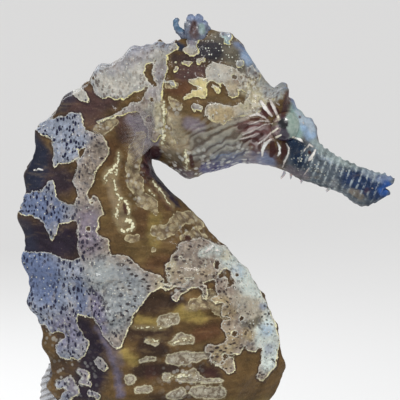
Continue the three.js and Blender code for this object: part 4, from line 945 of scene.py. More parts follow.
def snout_ribs(ring, girth, points):
    """Relief of the snout: waves along it, higher on its top, and small lumps."""
    ribs = np.sin(2 * np.pi * ring * SNOUT_RIBS + lumps(points, 2, 18))
    top = RELIEF["snout_top"] * bell(girth, 0.22) * np.maximum(0, ribs + 0.3)
    all_round = RELIEF["snout_rib"] * ribs + RELIEF["rough"] * lumps(points, 0.85, 11)
    return ease(-4, -4.6, ring) * (top + all_round)


def skin_detail(ring, girth, points):
    """Relief finer than the solids': lumps, wrinkles, raised markings and the rim and pit of the eye."""
    rough = RELIEF["rough"] * (lumps(points, 1.5, 10) + lumps(points, 0.85, 11))
    wave = np.sin(2 * np.pi * ring * WRINKLES + lumps(points, 3, 12))
    wrinkle = RELIEF["wrinkle"] * wave * ease(0.5, 1.5, ring) * ease(13, 12, ring)
    off = np.hypot(points[..., 0] - EYE["x"], points[..., 2] - EYE["z"])
    eye = RELIEF["lid"] * bell(off - 2.1, 0.2) - RELIEF["eye_pit"] * ease(1.85, 1.3, off)
    raised = raised_markings(ring, girth, points) + back_edge(ring, girth, points)
    return raised + rough + wrinkle + snout_ribs(ring, girth, points) + np.where(ring < 0, eye, 0)


def skin_blocks():
    """Three blocks of rows, with all the columns on head and trunk, then a half and a quarter of them."""
    change, spacing = ROW_CHANGES, ROW_SPACING
    head = even_rings(LIPS, change["head_end"], spacing["head"])
    trunk = even_rings(change["head_end"], change["trunk_end"], spacing["trunk"])[1:]
    root = even_rings(change["trunk_end"], change["middle"], spacing["root"])[1:]
    tail = even_rings(change["middle"], TAIL_TIP, spacing["tail"])[1:]
    blocks = zip((np.concatenate([head, trunk]), root, tail), (1, 2, 4))
    return [(rows, SKIN_COLUMNS // share) for rows, share in blocks]


def halved(first, columns):
    """Triangles from the loop before a vertex number to one that starts there with half as many columns."""
    fine = first - 2 * columns + 2 * np.arange(columns)
    coarse = first + np.arange(columns)
    middle, after, ahead = fine + 1, np.roll(fine, -1), np.roll(coarse, -1)
    kinds = [(fine, middle, coarse), (middle, ahead, coarse), (middle, after, ahead)]
    return [np.stack(kind, -1) for kind in kinds]


def open_mouth(grid, rows, folded):
    """Draws the side of the lips back, so the mouth is a notch between upper and lower lip."""
    m = MOUTH
    axis = grid[0].mean(0) - grid[m["axis_rows"]].mean(0)
    axis /= np.linalg.norm(axis)
    amount = ease(m["from_ring"], LIPS, rows)[:, None] * bell(folded - m["corner"], m["spread"])[None, :]
    return grid - axis * (m["notch"] * amount)[..., None]


def mouth_lining(points):
    """The mouth's inside: rows that shrink and turn in from the lips, and close on one point."""
    rim, inner = points[:SKIN_COLUMNS], MOUTH["lining_rows"] * SKIN_COLUMNS
    heart = rim.mean(0)
    inward = points[inner:inner + SKIN_COLUMNS].mean(0) - heart
    inward /= np.linalg.norm(inward)
    rows = np.stack([lerp(heart, rim, share) + inward * depth for share, depth in MOUTH["lining"]])
    start, loop = len(points), np.arange(SKIN_COLUMNS)
    lip = np.stack([loop, np.roll(loop, -1), start + np.roll(loop, -1), start + loop], -1)
    quads = np.concatenate([faces_of(len(rows), SKIN_COLUMNS, start), lip])[:, ::-1]
    last = start + (len(rows) - 1) * SKIN_COLUMNS + loop
    tris = fan(last, start + len(rows) * SKIN_COLUMNS)[:, ::-1]
    return np.concatenate([rows.reshape(-1, 3), [heart + inward * MOUTH["depth"]]]), quads, tris


def build_skin():
    """One closed surface from the lips to the tail's tip, whose rows thin out along the tail."""
    points, keys, quads, tris = [], [], [], []
    first = 0
    for rows, columns in skin_blocks():
        girths = np.arange(columns) * 2 / columns
        folded = np.minimum(girths, 2 - girths)
        grid = surface(rows, girths, detail=skin_detail)
        if first == 0:
            grid = open_mouth(grid, rows, folded)
        else:
            tris += halved(first, columns)
        quads.append(faces_of(len(rows), columns, first))
        points.append(grid.reshape(-1, 3))
        keys.append(np.stack(np.broadcast_arrays(rows[:, None], folded[None, :]), -1).reshape(-1, 2))
        first += grid.shape[0] * columns
    points = np.concatenate(points)
    last = points[-columns:].mean(0)
    run = last - points[-2 * columns:-columns].mean(0)
    tris.append(fan(np.arange(first - columns, first), first))
    points = np.concatenate([points, [last + run * 0.5]])
    lining, inner_quads, inner_tris = mouth_lining(points)
    inside = np.repeat([0.0, 1.0], [len(points), len(lining)])
    points = np.concatenate([points, lining])
    ends = [[(TAIL_TIP, 0.5)], np.full((len(lining), 2), [LIPS, 0.5])]
    ring, girth = np.concatenate([*keys, *ends]).T
    fields = {**markings(ring, girth, points), "inside": inside, "across": girth}
    lengths = ["snout", "head", "neck", "trunk_upper", "trunk_lower", *(f"tail_{i}" for i in range(1, 6))]
    quads, tris = np.concatenate([*quads, inner_quads]), np.concatenate([*tris, inner_tris])
    return piece("skin", points, quads, tris, "skin", fields, replaces=lengths)


# ---------------- shader arithmetic

class Wire:
    """An output socket, on which arithmetic adds Math nodes."""

    def __init__(self, finish, socket):
        self.finish, self.socket = finish, socket

    def math(self, operation, *others):
        return self.finish.node("Math", {"operation": operation}, [self, *others])

    def __add__(self, other):
        return self.math("ADD", other)

    def __sub__(self, other):
        return self.math("SUBTRACT", other)

    def __rsub__(self, other):
        return self.finish.node("Math", {"operation": "SUBTRACT"}, [other, self])

    def __mul__(self, other):
        return self.math("MULTIPLY", other)

    def __truediv__(self, other):
        return self.math("DIVIDE", other)

    __radd__, __rmul__ = __add__, __mul__

    def smooth(self, low, high):
        """0 below low, 1 above high, smooth between; low may be the greater."""
        settings = {"interpolation_type": "SMOOTHSTEP"}
        return self.finish.node("MapRange", settings, {"Value": self, "From Min": low, "From Max": high})

    def near(self, value, width):
        """1 where the value is met, falling to 0 a width away."""
        return (self - value).math("ABSOLUTE").smooth(width, 0)


class Finish:
    """A procedural material: nodes are added by name and joined to one Principled shader."""

    def __init__(self, name):
        self.material = bpy.data.materials.new(name)
        self.material.use_nodes = True
        self.tree = self.material.node_tree
        self.shader = self.tree.nodes["Principled BSDF"]
        coordinates = self.tree.nodes.new("ShaderNodeTexCoord")
        metres = Wire(self, coordinates.outputs["Object"])
        self.place = self.node("VectorMath", {"operation": "SCALE"}, {"Vector": metres, "Scale": 1 / MM})

    def node(self, kind, settings=None, inputs=None, output=0):
        """Adds a node: its settings first, then the values or wires of its sockets; gives one output."""
        made = self.tree.nodes.new("ShaderNode" + kind)
        for key, value in (settings or {}).items():
            setattr(made, key, value)
        pairs = inputs.items() if isinstance(inputs, dict) else enumerate(inputs or [])
        for key, value in pairs:
            if isinstance(value, Wire):
                self.tree.links.new(value.socket, made.inputs[key])
            else:
                made.inputs[key].default_value = value
        return Wire(self, made.outputs[output])

    def field(self, name):
        """A number kept at the piece's vertices."""
        return self.node("Attribute", {"attribute_name": name}, output="Fac")

    def tint(self, name):
        """A colour kept at the piece's vertices."""
        return self.node("Attribute", {"attribute_name": name}, output="Color")

    def side_view(self):
        """x and z in mm from the notch of the throat."""
        x = self.node("SeparateXYZ", None, [self.place])
        z = Wire(self, x.socket.node.outputs["Z"])
        return x - THROAT[0], z - THROAT[2]

    def stretch(self, x=1.0, y=1.0, z=1.0, turn=0.0):
        """The place in mm, scaled on each axis and turned about y in degrees."""
        settings = {"vector_type": "POINT"}
        inputs = {"Vector": self.place, "Scale": (x, y, z), "Rotation": (0, np.radians(turn), 0)}
        return self.node("Mapping", settings, inputs)

    def noise(self, scale, detail=2.0, roughness=0.5, vector=None):
        """Cloudy noise from 0 to 1, scale in cycles per mm."""
        inputs = {"Vector": vector or self.place, "Scale": scale, "Detail": detail, "Roughness": roughness}
        return self.node("TexNoise", None, inputs)

    def cells(self, scale, randomness=1.0, vector=None):
        """Distance to the nearest cell's point, in cell widths, and a random tone for that cell."""
        inputs = {"Vector": vector or self.place, "Scale": scale, "Randomness": randomness}
        distance = self.node("TexVoronoi", None, inputs, "Distance")
        return distance, Wire(self, distance.socket.node.outputs["Color"])

    def mix(self, factor, below, above, blend="MIX"):
        """Lays one colour over another by a factor from 0 to 1."""
        settings = {"data_type": "RGBA", "blend_type": blend}
        return self.node("Mix", settings, {0: factor, 6: below, 7: above}, 2)

    def toned(self, colour, gain):
        """The colour times a gain, which may be a wire."""
        return self.mix(1.0, colour, gain, "MULTIPLY")

    def bump(self, height, depth):
        """Relief for the Normal: a height of 1 stands out by a depth in mm."""
        return self.node("Bump", None, {"Height": height, "Distance": depth * MM, "Strength": 1.0})

    def set(self, **values):
        """Sets the shader's sockets, an underscore in a name standing for a space."""
        for name, value in values.items():
            socket = self.shader.inputs[name.replace("_", " ")]
            if isinstance(value, Wire):
                self.tree.links.new(value.socket, socket)
            else:
                socket.default_value = value

    def on(self, *pieces):
        """Puts the material on pieces in place of what they had."""
        for made in pieces:
            made.data.materials.clear()
            made.data.materials.append(self.material)


def rgb(red, green, blue):
    """A colour given as on a paint chart, 0 to 255, as linear light with full cover."""
    parts = np.array([red, green, blue]) / 255
    linear = np.where(parts < 0.04045, parts / 12.92, ((parts + 0.055) / 1.055) ** 2.4)
    return (*linear.tolist(), 1.0)


# ---------------- the skin's finish

PAINTS = {
    # dark ground
    "straw cloud": (170, 146, 96), "freckle": (176, 164, 138), "crown point": (226, 228, 214),
    "fold": (164, 161, 148), "fold by the eye": (196, 184, 182),
    "furrow": (84, 72, 62), "furrow by the eye": (96, 58, 58),
    "rib": (192, 202, 202), "rib gap": (38, 42, 54),
    # pale patches, and a painted shadow round them
    "warm mottle": (180, 166, 144), "cool mottle": (134, 142, 158), "glint": (230, 230, 220),
    "back pit": (13, 13, 52), "flank pit": (50, 36, 38), "head pit": (98, 74, 56),
    # painted shade between the belly's domes and a painted highlight ring on each
    "painted shade between domes": (112, 92, 84), "painted highlight on domes": (214, 208, 190), "painted_shadow": (34, 24, 36),
    # rims painted as shaded and as lit
    "shaded rim": (218, 216, 206), "lit rim": (242, 236, 196), "lit rim of the head": (240, 232, 166),
    # knobbly flesh, with painted shade in its creases and a painted highlight on its domes
    "flesh": (130, 114, 86), "pale flesh": (182, 168, 134), "painted shade between flesh domes": (78, 58, 48),
    "flesh ring": (112, 84, 64), "painted highlight on flesh domes": (204, 196, 168), "flesh edge": (212, 202, 162),
    # ovals, with painted glints in them, and beads
    "film": (122, 110, 94), "pale film": (194, 188, 168), "film hollow": (92, 70, 58),
    "film edge": (204, 198, 164), "painted film glint": (234, 232, 214), "bead bed": (152, 136, 100),
    # knobs: painted shade between them and a painted highlight on each
    "bead": (234, 230, 196), "painted shade between knobs": (84, 72, 74), "knob": (214, 214, 208),
    # lines of the face
    "dark line": (62, 30, 28), "dull streak": (198, 188, 182), "bright streak": (255, 255, 250),
    "mouth": (30, 20, 26),
}


def paint(name):
    """A named paint of the skin as linear light."""
    return rgb(*PAINTS[name])


def cheek_folds(s, colour, x, z, small):
    """Wavy light folds and dark furrows that run up the cheek and bend towards the eye."""
    folds = s.field("folds")
    past = (x - 8).math("MAXIMUM", 0.0)
    across = z - x * 0.62 + past * past * 0.026 + s.noise(0.34, 2) * 4.2
    wave = (across * (2 * np.pi / 1.15)).math("SINE")
    blush = x.smooth(11.5, 13.5)
    light = s.mix(blush, paint("fold"), paint("fold by the eye"))
    dark = s.mix(blush, paint("furrow"), paint("furrow by the eye"))
    colour = s.mix(wave.smooth(-0.6, 0.4) * folds * (0.3 + small * 0.7), colour, light)
    colour = s.mix(wave.smooth(-0.6, -0.95) * folds * 0.75, colour, dark)
    return colour, wave * folds


def painted_ribs(s, colour, x, z, small):
    """Broken pale bands across the snout, dark between."""
    ribbed = s.field("ribbed")
    along_snout = x * 0.93 - z * 0.37 + (small - 0.5) * 0.5
    rib = (along_snout * (2 * np.pi / 0.85)).math("SINE")
    broken = small.smooth(0.4, 0.62)
    colour = s.mix(rib.smooth(0.1, 0.95) * ribbed * broken * 0.75, colour, paint("rib"))
    colour = s.mix(rib.smooth(-0.3, -0.95) * ribbed * 0.3, colour, paint("rib gap"))
    return colour, rib * ribbed


def dark_skin(s, small, fine):
    """The ground's tints: clouded, streaked along the rings, folded, ribbed, dotted and freckled."""
    broad = s.noise(0.35, 3)
    streaky = s.noise(0.8, 3, 0.55, s.stretch(0.45, 1, 1.5, turn=-12))
    speckle = (small - 0.5) * (s.field("ribbed") * 1.1 + 0.6) + (fine - 0.5) * 0.5
    gain = 0.87 + (broad - 0.5) * 0.9 + (streaky - 0.5) * 1.0 + speckle
    colour = s.toned(s.tint("ground"), gain.math("MAXIMUM", 0.4))
    colour = s.mix(streaky.smooth(0.54, 0.74) * 0.15, colour, paint("straw cloud"))
    x, z = s.side_view()
    colour, waves = cheek_folds(s, colour, x, z, small)
    colour, ribs = painted_ribs(s, colour, x, z, small)
    distance, dot = s.cells(2.2, 0.5)
    spots = (distance - dot * 0.12).smooth(0.2, 0.1) * s.field("points")
    colour = s.mix(spots * 0.95, colour, paint("crown point"))
    colour = s.mix(fine.smooth(0.64, 0.76) * 0.22, colour, paint("freckle"))
    return colour, waves * 0.5 + ribs * 0.4 + spots * 0.3


def dark_pits(s, smooth, side, head, small):
    """Holes in the patches' cover: upright on the back, lying on the flank, fewer where it is smooth."""
    upright, tall = s.cells(1.0, 0.9, s.stretch(2.8, 2.2, 1.5, turn=6))
    lying, low = s.cells(1.0, 0.9, s.stretch(1.3, 2.2, 2.3, turn=-14))
    standing = (upright - tall * 0.66 + (small - 0.5) * 0.8).smooth(0.06, -0.16)
    laid = (lying - low * 0.6 + (small - 0.5) * 0.7).smooth(0.05, -0.22)
    return (standing + side * (laid - standing)) * (1.0 - smooth * 0.88) * (1.0 - head * 0.35)


def pitted_cover(s, small, fine):
    """The patches' tints, mottled, with dark pits and bright glints."""
    smooth, head = s.field("smooth"), s.field("head")
    side = s.field("across").smooth(0.46, 0.6)
    middle = s.noise(0.7, 3, 0.6)
    pebble, pebble_tone = s.cells(2.1)
    grain = ((small - 0.5) * 1.5 + (fine - 0.5) * 0.7 + (0.45 - pebble) * 0.7) * (1.0 - smooth * 0.68)
    gain = 1.12 + grain + (middle - 0.5) * 0.8
    colour = s.toned(s.tint("cover"), gain.math("MAXIMUM", 0.35))
    colour = s.mix(middle.smooth(0.52, 0.7) * 0.3, colour, paint("warm mottle"))
    colour = s.mix(middle.smooth(0.47, 0.3) * 0.2, colour, paint("cool mottle"))
    pits = dark_pits(s, smooth, side, head, small)
    hollow = s.mix(head, s.mix(side, paint("back pit"), paint("flank pit")), paint("head pit"))
    colour = s.mix(pits * 0.95, colour, hollow)
    glints = pebble.smooth(0.34, 0.14) * pebble_tone.smooth(0.5, 0.68)
    colour = s.mix(glints * 0.75, colour, paint("glint"))
    return colour, pits, glints


def netted(s, cover, net, small, domes):
    """The belly's cover: painted shade between round domes and a broken ring of painted highlight on each.
    """
    # painted shade in the gaps between the domes, then a broken ring of painted highlight on each dome
    cover = s.mix(domes.smooth(0.42, 0.66) * net * 0.4, cover, paint("painted shade between domes"))
    ring = domes.near(0.28, 0.16) * net * small.smooth(0.45, 0.62)
    return s.mix(ring * 0.6, cover, paint("painted highlight on domes"))


def knobbly_flesh(s, colour, small, fine, domes, dome_tone):
    """Domes in the ground's own tones: painted shade in the creases, some with a ring, a painted highlight
    on top, a pale edge.
    """
    flesh = s.field("flesh")
    lobes = (flesh + (small - 0.5) * 0.4 + (fine - 0.5) * 0.2).smooth(-0.12, 0.15)
    meat = s.mix(small.smooth(0.35, 0.65), paint("flesh"), paint("pale flesh"))
    # painted shade in the creases between the domes
    meat = s.mix(domes.smooth(0.46, 0.66) * 0.6, meat, paint("painted shade between flesh domes"))
    ringed = dome_tone.smooth(0.4, 0.8) * small.smooth(0.3, 0.6)
    meat = s.mix(domes.smooth(0.24, 0.1) * ringed * 0.35, meat, paint("flesh ring"))
    # a painted highlight on the top of each dome, less on ringed ones
    meat = s.mix(domes.smooth(0.4, 0.12) * (0.14 + (1.0 - ringed) * 0.3), meat, paint("painted highlight on flesh domes"))
    colour = s.mix(lobes * 0.85, colour, meat)
    edge = (flesh + (small - 0.5) * 0.4).near(0.04, 0.09) * small.smooth(0.4, 0.55)
    return s.mix(edge * 0.8, colour, paint("flesh edge")), lobes


def filmy_ovals(s, colour, small, fine):
    """A thin pale veil with a darker line inside a bright edge."""
    film = s.field("oval") + (fine - 0.5) * 0.25
    veil = s.mix(small.smooth(0.38, 0.6), paint("film"), paint("pale film"))
    colour = s.mix(film.smooth(-0.16, 0.2) * 0.82, colour, veil)
    colour = s.mix(film.near(0.32, 0.14) * small.smooth(0.46, 0.6) * 0.7, colour, paint("film hollow"))
    return s.mix(film.near(0.06, 0.1) * (small + 0.25), colour, paint("film edge")), film


def patched(s, colour, cover, small, fine):
    """Lays the cover in the pale patches, painted shadow outside them, a bright rim painted lit and shaded.
    """
    melt, head, facing = s.field("melt"), s.field("head"), s.field("facing")
    edge = s.field("pale") + (fine - 0.5) * 0.3 + (small - 0.5) * 0.3
    patch = (edge + melt * 0.15).smooth(-0.03, 0.04) * (1.0 - melt) + edge.smooth(-0.5, 0.4) * melt
    # painted shadow: the ground darkened just outside each patch's edge, less on the head
    painted_shadow = edge.near(-0.13, 0.16) * (0.25 + small * 0.6) * (1.0 - head * 0.45) * (1.0 - melt)
    colour = s.mix(painted_shadow, colour, paint("painted_shadow"))
    colour = s.mix(patch, colour, cover)
    # the rim is painted as lit, brighter and warmer, on edges that face ahead and down, and as shaded
    # elsewhere
    rim = edge.near(0.07, 0.11) * (0.6 + facing * 0.4) * (0.3 + small * 1.5) * (1.0 - melt * 0.9)
    lit = s.mix(head, paint("lit rim"), paint("lit rim of the head"))
    painted_rim_light = s.mix(facing, paint("shaded rim"), lit)
    return s.mix(rim.math("MINIMUM", 1.0), colour, painted_rim_light), patch


def beaded(s, colour, film):
    """Painted glints in the ovals, and rows of bright beads in a dull bed."""
    distance, dot = s.cells(2.7, 0.8)
    # painted glints: small bright dots on some cells inside the ovals
    dots = distance.smooth(0.26, 0.12) * dot.smooth(0.5, 0.62)
    colour = s.mix(dots * film.smooth(0.05, 0.25) * 0.8, colour, paint("painted film glint"))
    bead = s.field("bead")
    chain = bead + (0.42 - distance) * 0.34 + 0.04
    colour = s.mix(bead.smooth(-0.5, 0) * 0.65, colour, paint("bead bed"))
    return s.mix(chain.smooth(-0.07, 0.03), colour, paint("bead")), chain


def knobbed(s, colour):
    """Bright knobs where the skin sparkles: a painted highlight on each, painted shade in the dull gaps."""
    sparks = s.field("sparks")
    knob, knob_tone = s.cells(1.35)
    crest = (knob - knob_tone * 0.3).smooth(0.34, 0.1) * sparks
    # painted shade in the gaps between knobs, then a painted highlight on each knob's top
    colour = s.mix(sparks * knob.smooth(0.42, 0.65) * 0.35, colour, paint("painted shade between knobs"))
    return s.mix(crest * 0.9, colour, paint("knob")), crest


def streaked(s, colour, small, fine):
    """Dark lines, then bright streaks that whiten where they shine."""
    line = s.field("streak") + (small - 0.5) * 0.18 + (fine - 0.5) * 0.12
    shaded = (s.field("shade") + (fine - 0.5) * 0.2).smooth(-0.14, 0.06) * 0.85
    colour = s.mix(shaded, colour, paint("dark line"))
    bright = s.mix(s.field("shine"), paint("dull streak"), paint("bright streak"))
    bright = s.toned(bright, 0.76 + small * 0.5)
    return s.mix(line.smooth(-0.03, 0.1), colour, bright), line


def skin_finish():
    """Brown to plum ground under pale patches, knobbly flesh, ovals, beads, knobs and streaks."""
    s = Finish("seahorse skin")
    small, fine = s.noise(1.5, 3, 0.65), s.noise(4.4, 2, 0.6)
    domes, dome_tone = s.cells(0.95, 0.8)
    net = s.field("net")
    colour, relief = dark_skin(s, small, fine)
    colour, lobes = knobbly_flesh(s, colour, small, fine, domes, dome_tone)
    colour, film = filmy_ovals(s, colour, small, fine)
    cover, pits, glints = pitted_cover(s, small, fine)
    colour, patch = patched(s, colour, netted(s, cover, net, small, domes), small, fine)
    colour, chain = beaded(s, colour, film)
    colour, crest = knobbed(s, colour)
    colour, line = streaked(s, colour, small, fine)
    colour = s.mix(s.field("inside"), colour, paint("mouth"))
    relief = relief + patch * 0.45 - pits * patch * 0.9 + glints * patch * 0.6 + small * 0.7 + fine * 0.35
    relief = relief - domes * (0.25 + lobes * 0.6 + net * 0.8) + crest * 0.8
    relief = relief + chain.smooth(-0.2, 0.1) * 0.8 + line.smooth(-0.1, 0.1) * 0.7
    s.set(Base_Color=colour, Roughness=0.36 + small * 0.25 + patch * 0.06, Normal=s.bump(relief, 0.2))
    s.set(Coat_Weight=0.08, Coat_Roughness=0.08, Specular_IOR_Level=0.1)
    s.set(Subsurface_Weight=0.08, Subsurface_Radius=(0.9, 0.5, 0.35), Subsurface_Scale=0.4 * MM)
    return s


# ---------------- eyes

EYE_ROWS, EYE_COLUMNS = 48, 96
# the share by which the globe rises over the pupil, and the width of that bell in radians
CORNEA = dict(rise=0.03, width=0.42)
PUPIL = dict(x=17.5, z=4.7, radius=0.66)
IRIS = {
    "ahead": (128, 150, 140), "pale ahead": (156, 172, 162), "behind": (116, 108, 84),
    "upper": (112, 84, 84), "pale upper": (186, 178, 160), "brow": (64, 42, 50),
    "lower": (92, 66, 70), "pale lower": (150, 130, 130), "outer brow": (112, 78, 46),
    "below": (42, 30, 52),
    "dark line": (54, 30, 32), "streak": (240, 235, 216), "pupil's edge": (40, 36, 46), "pupil": (9, 8, 16),
}


def build_eye(side, node):
    """An eyeball: a globe about its outward axis, slightly domed over the pupil."""
    ball = globe(EYE_ROWS, EYE_COLUMNS)
    domed = 1 + CORNEA["rise"] * bell(np.arccos(ball[:, 2]), CORNEA["width"])
    points = ball[:, [0, 2, 1]] * [1, side, 1] * (EYE["radius"] * domed)[:, None]
    points = points + np.array([EYE["x"], side * EYE["y"], EYE["z"]])
    x, z = drawn_at(points)
    fields = {"ahead": x - PUPIL["x"], "above": z - PUPIL["z"], **fine_lines(x, z)}
    name = "eyeball_left" if side > 0 else "eyeball_right"
    return piece(name, points, *capped(EYE_ROWS, EYE_COLUMNS), "eye", fields, replaces=[node])


def eye_finish():
    """A small ragged pupil in an iris of wedges: green-grey ahead, brown above, dark below, pale behind."""
    s = Finish("seahorse eye")
    x, z = s.field("ahead"), s.field("above")
    radius = (x * x + z * z).math("SQRT")
    small, fine = s.noise(1.8, 3, 0.6), s.noise(5, 2)
    tones = {name: rgb(*parts) for name, parts in IRIS.items()}

    def wedge(degrees, width):
        """1 along a bearing from the pupil, falling to 0 at a width in degrees to each side."""
        along_x, along_z = float(np.cos(np.radians(degrees))), float(np.sin(np.radians(degrees)))
        cosine = (x * along_x + z * along_z) / (radius + 0.01)
        wide, close = (float(np.cos(np.radians(width * share))) for share in (1, 0.4))
        return (cosine + (small - 0.5) * 0.3).smooth(wide, close)

    mottle = small.smooth(0.4, 0.6)
    colour = s.mix(small.smooth(0.3, 0.7), tones["ahead"], tones["pale ahead"])
    colour = s.mix(wedge(185, 62), colour, tones["behind"])
    colour = s.mix(wedge(140, 48), colour, s.mix(mottle, tones["upper"], tones["pale upper"]))
    colour = s.mix(wedge(225, 46), colour, s.mix(mottle, tones["lower"], tones["pale lower"]))
    brow = s.mix(radius.smooth(0.8, 2.2), tones["brow"], tones["outer brow"])
    colour = s.mix(wedge(92, 34), colour, brow)
    colour = s.mix(wedge(274, 36), colour, tones["below"])
    shaded = (s.field("shade") + (fine - 0.5) * 0.14).smooth(-0.1, 0.06) * 0.8
    colour = s.mix(shaded, colour, tones["dark line"])
    line = (s.field("streak") + (fine - 0.5) * 0.1).smooth(-0.06, 0.05)
    colour = s.mix(line, colour, tones["streak"])
    ragged, edge = radius + (small - 0.5) * 0.5, PUPIL["radius"]
    colour = s.mix(ragged.smooth(edge + 0.3, edge) * 0.5, colour, tones["pupil's edge"])
    colour = s.mix(ragged.smooth(edge + 0.05, edge - 0.07), colour, tones["pupil"])
    s.set(Base_Color=colour, Roughness=0.3, Normal=s.bump(small * 0.6 + line * 0.6, 0.08))
    s.set(Coat_Weight=0.5, Coat_Roughness=0.06, Specular_IOR_Level=0.5)
    return s


# ---------------- coronet

CROWN = dict(x=5.85, z=16.7, wide=1.5, high=1.75, rows=22, columns=28)
# foot, bend and tip (x, y to one side, z), radii of foot, waist and knob; y above 0 makes a pair
LOBES = [
    ((4.9, 0, 16.2), (2.4, 0, 17.6), (3.6, 0, 18.75), (0.62, 0.42, 0.4)),
    ((5.2, 0.5, 16.6), (4.8, 1, 17.6), (4.85, 0.95, 18.5), (0.8, 0.6, 0.52)),
    ((5.6, 0.4, 16.6), (5.3, 0.5, 17.8), (5.1, 0.55, 19.3), (0.9, 0.7, 0.56)),
    ((6.1, 0.4, 16.6), (6.2, 0.5, 17.8), (6.2, 0.6, 19.35), (0.9, 0.72, 0.6)),
    ((6.3, 0.5, 16.5), (6.8, 1, 17.3), (6.95, 1.05, 18.5), (0.9, 0.72, 0.6)),
    ((6.6, 0, 16.5), (7.3, 0, 17), (7.4, 0, 17.9), (0.8, 0.62, 0.5)),
]
# tone, share, chain over the coronet's grey flesh
CROWN_TONES = [
    ("mist", 0.9, [(4.9, 19.2, 0.6), (6.2, 19.2, 0.7), (7, 18.6, 0.6)]),
    ("mauve", 1, [(5.6, 18.1, 0.4), (5.6, 16.9, 0.7)]), ("teal", 0.9, [(3.1, 18, 0.7), (3.9, 17.2, 0.4)]),
    ("russet", 0.7, [(3.7, 18.3, 0.2)]), ("green", 0.9, [(6.6, 17.7, 0.4), (6.7, 17, 0.4)]),
    ("mauve", 0.7, [(5.7, 16.2, 0.6)]), ("ash", 0.5, [(4.5, 18, 0.5)]),
]


def lobe(foot, bend, tip, radii):
    """A fleshy finger: rings of a radius that changes along a bent line, rounded off at the knob."""
    t = np.linspace(0.02, 0.985, CROWN["rows"])
    foot, bend, tip = (np.array(p, float) for p in (foot, bend, tip))
    line = ((1 - t) ** 2)[:, None] * foot + (2 * t * (1 - t))[:, None] * bend + (t ** 2)[:, None] * tip
    heading = 2 * (1 - t)[:, None] * (bend - foot) + 2 * t[:, None] * (tip - bend)
    heading /= np.linalg.norm(heading, axis=1, keepdims=True)
    one = np.cross(heading, [0, 1, 0.2])
    one /= np.linalg.norm(one, axis=1, keepdims=True)
    left = np.clip((1 - t) * np.linalg.norm(tip - foot) / radii[2], 0, 1)
    radius = through([0, 0.5, 1], radii, t) * np.sqrt(np.clip(1 - (1 - left) ** 2, 0, 1))
    grid, out = tube(line, radius, one, np.cross(heading, one), CROWN["columns"])
    grid = grid + out * (0.09 * lumps(grid, 0.9, 31) + 0.05 * lumps(grid, 0.45, 32))[..., None]
    return np.concatenate([grid.reshape(-1, 3), [foot, tip]])


def build_coronet():
    """Blunt fleshy fingers that spread from a low dome, in pairs and two on the midline."""
    rows, columns = CROWN["rows"], CROWN["columns"]
    size = [CROWN["wide"], CROWN["wide"], CROWN["high"]]
    shapes = [globe(rows, columns) * size + [CROWN["x"], 0, CROWN["z"]]]
    for shape in LOBES:
        paired = shape[0][1] > 0
        shapes += [lobe(*shape) * [1, side, 1] for side in ((1, -1) if paired else (1,))]
    points, quads, tris = joined(shapes, rows, columns)
    flesh = washed(*drawn_at(points), tone("flint"), CROWN_TONES)
    return piece("crown_of_horns", points, quads, tris, "coronet", {"flesh": flesh}, replaces=["coronet"])


def coronet_finish():
    """Mottled grey-blue flesh, brown in the hollows and paler on the knobs."""
    s = Finish("seahorse coronet")
    small, fine = s.noise(1.8, 3), s.noise(6, 2)
    gain = 1.0 + (small - 0.5) * 1.4 + (fine - 0.5) * 0.6
    colour = s.toned(s.tint("flesh"), gain.math("MAXIMUM", 0.4))
    colour = s.mix(small.smooth(0.56, 0.72) * 0.35, colour, rgb(176, 184, 196))
    s.set(Base_Color=colour, Roughness=0.4 + fine * 0.2, Normal=s.bump(small * 0.7 + fine * 0.3, 0.14))
    s.set(Coat_Weight=0.3, Coat_Roughness=0.18)
    s.set(Subsurface_Weight=0.25, Subsurface_Radius=(0.9, 0.6, 0.5), Subsurface_Scale=0.8 * MM)
    return s


# ---------------- fins

DORSAL = dict(start=10.1, end=12.3, sweep=0.7, rays=18, length=4.5)
PECTORAL = dict(ring=0.75, girths=(0.57, 0.77), rays=16, length=4.6, flare=26, fan=(34, -40))
ANAL = dict(start=11.55, end=11.85, rays=4, length=2.3, aims=(-62, -38))
# lift, ray, web and ripple in mm; sunk, notch, thinned and joint are shares
FIN = dict(
    rows=22, per_ray=8, lift=0.45, ray=0.34, web=0.1, sunk=0.12, notch=0.07, thinned=0.75,
    joint=0.25, joints=22, ripple=0.12, ripples=9,
)
# tones of web and rays, how solid each is, and the share of that which is lost at the outer edge
FILMS = {
    "dorsal film": dict(web=(98, 108, 132), rays=(150, 144, 140), cover=(0.35, 0.75), fade=0.2),
    "pectoral film": dict(web=(178, 170, 178), rays=(196, 190, 188), cover=(0.06, 0.2), fade=1),
}
SIDEWAYS = np.array([0.0, 1, 0])


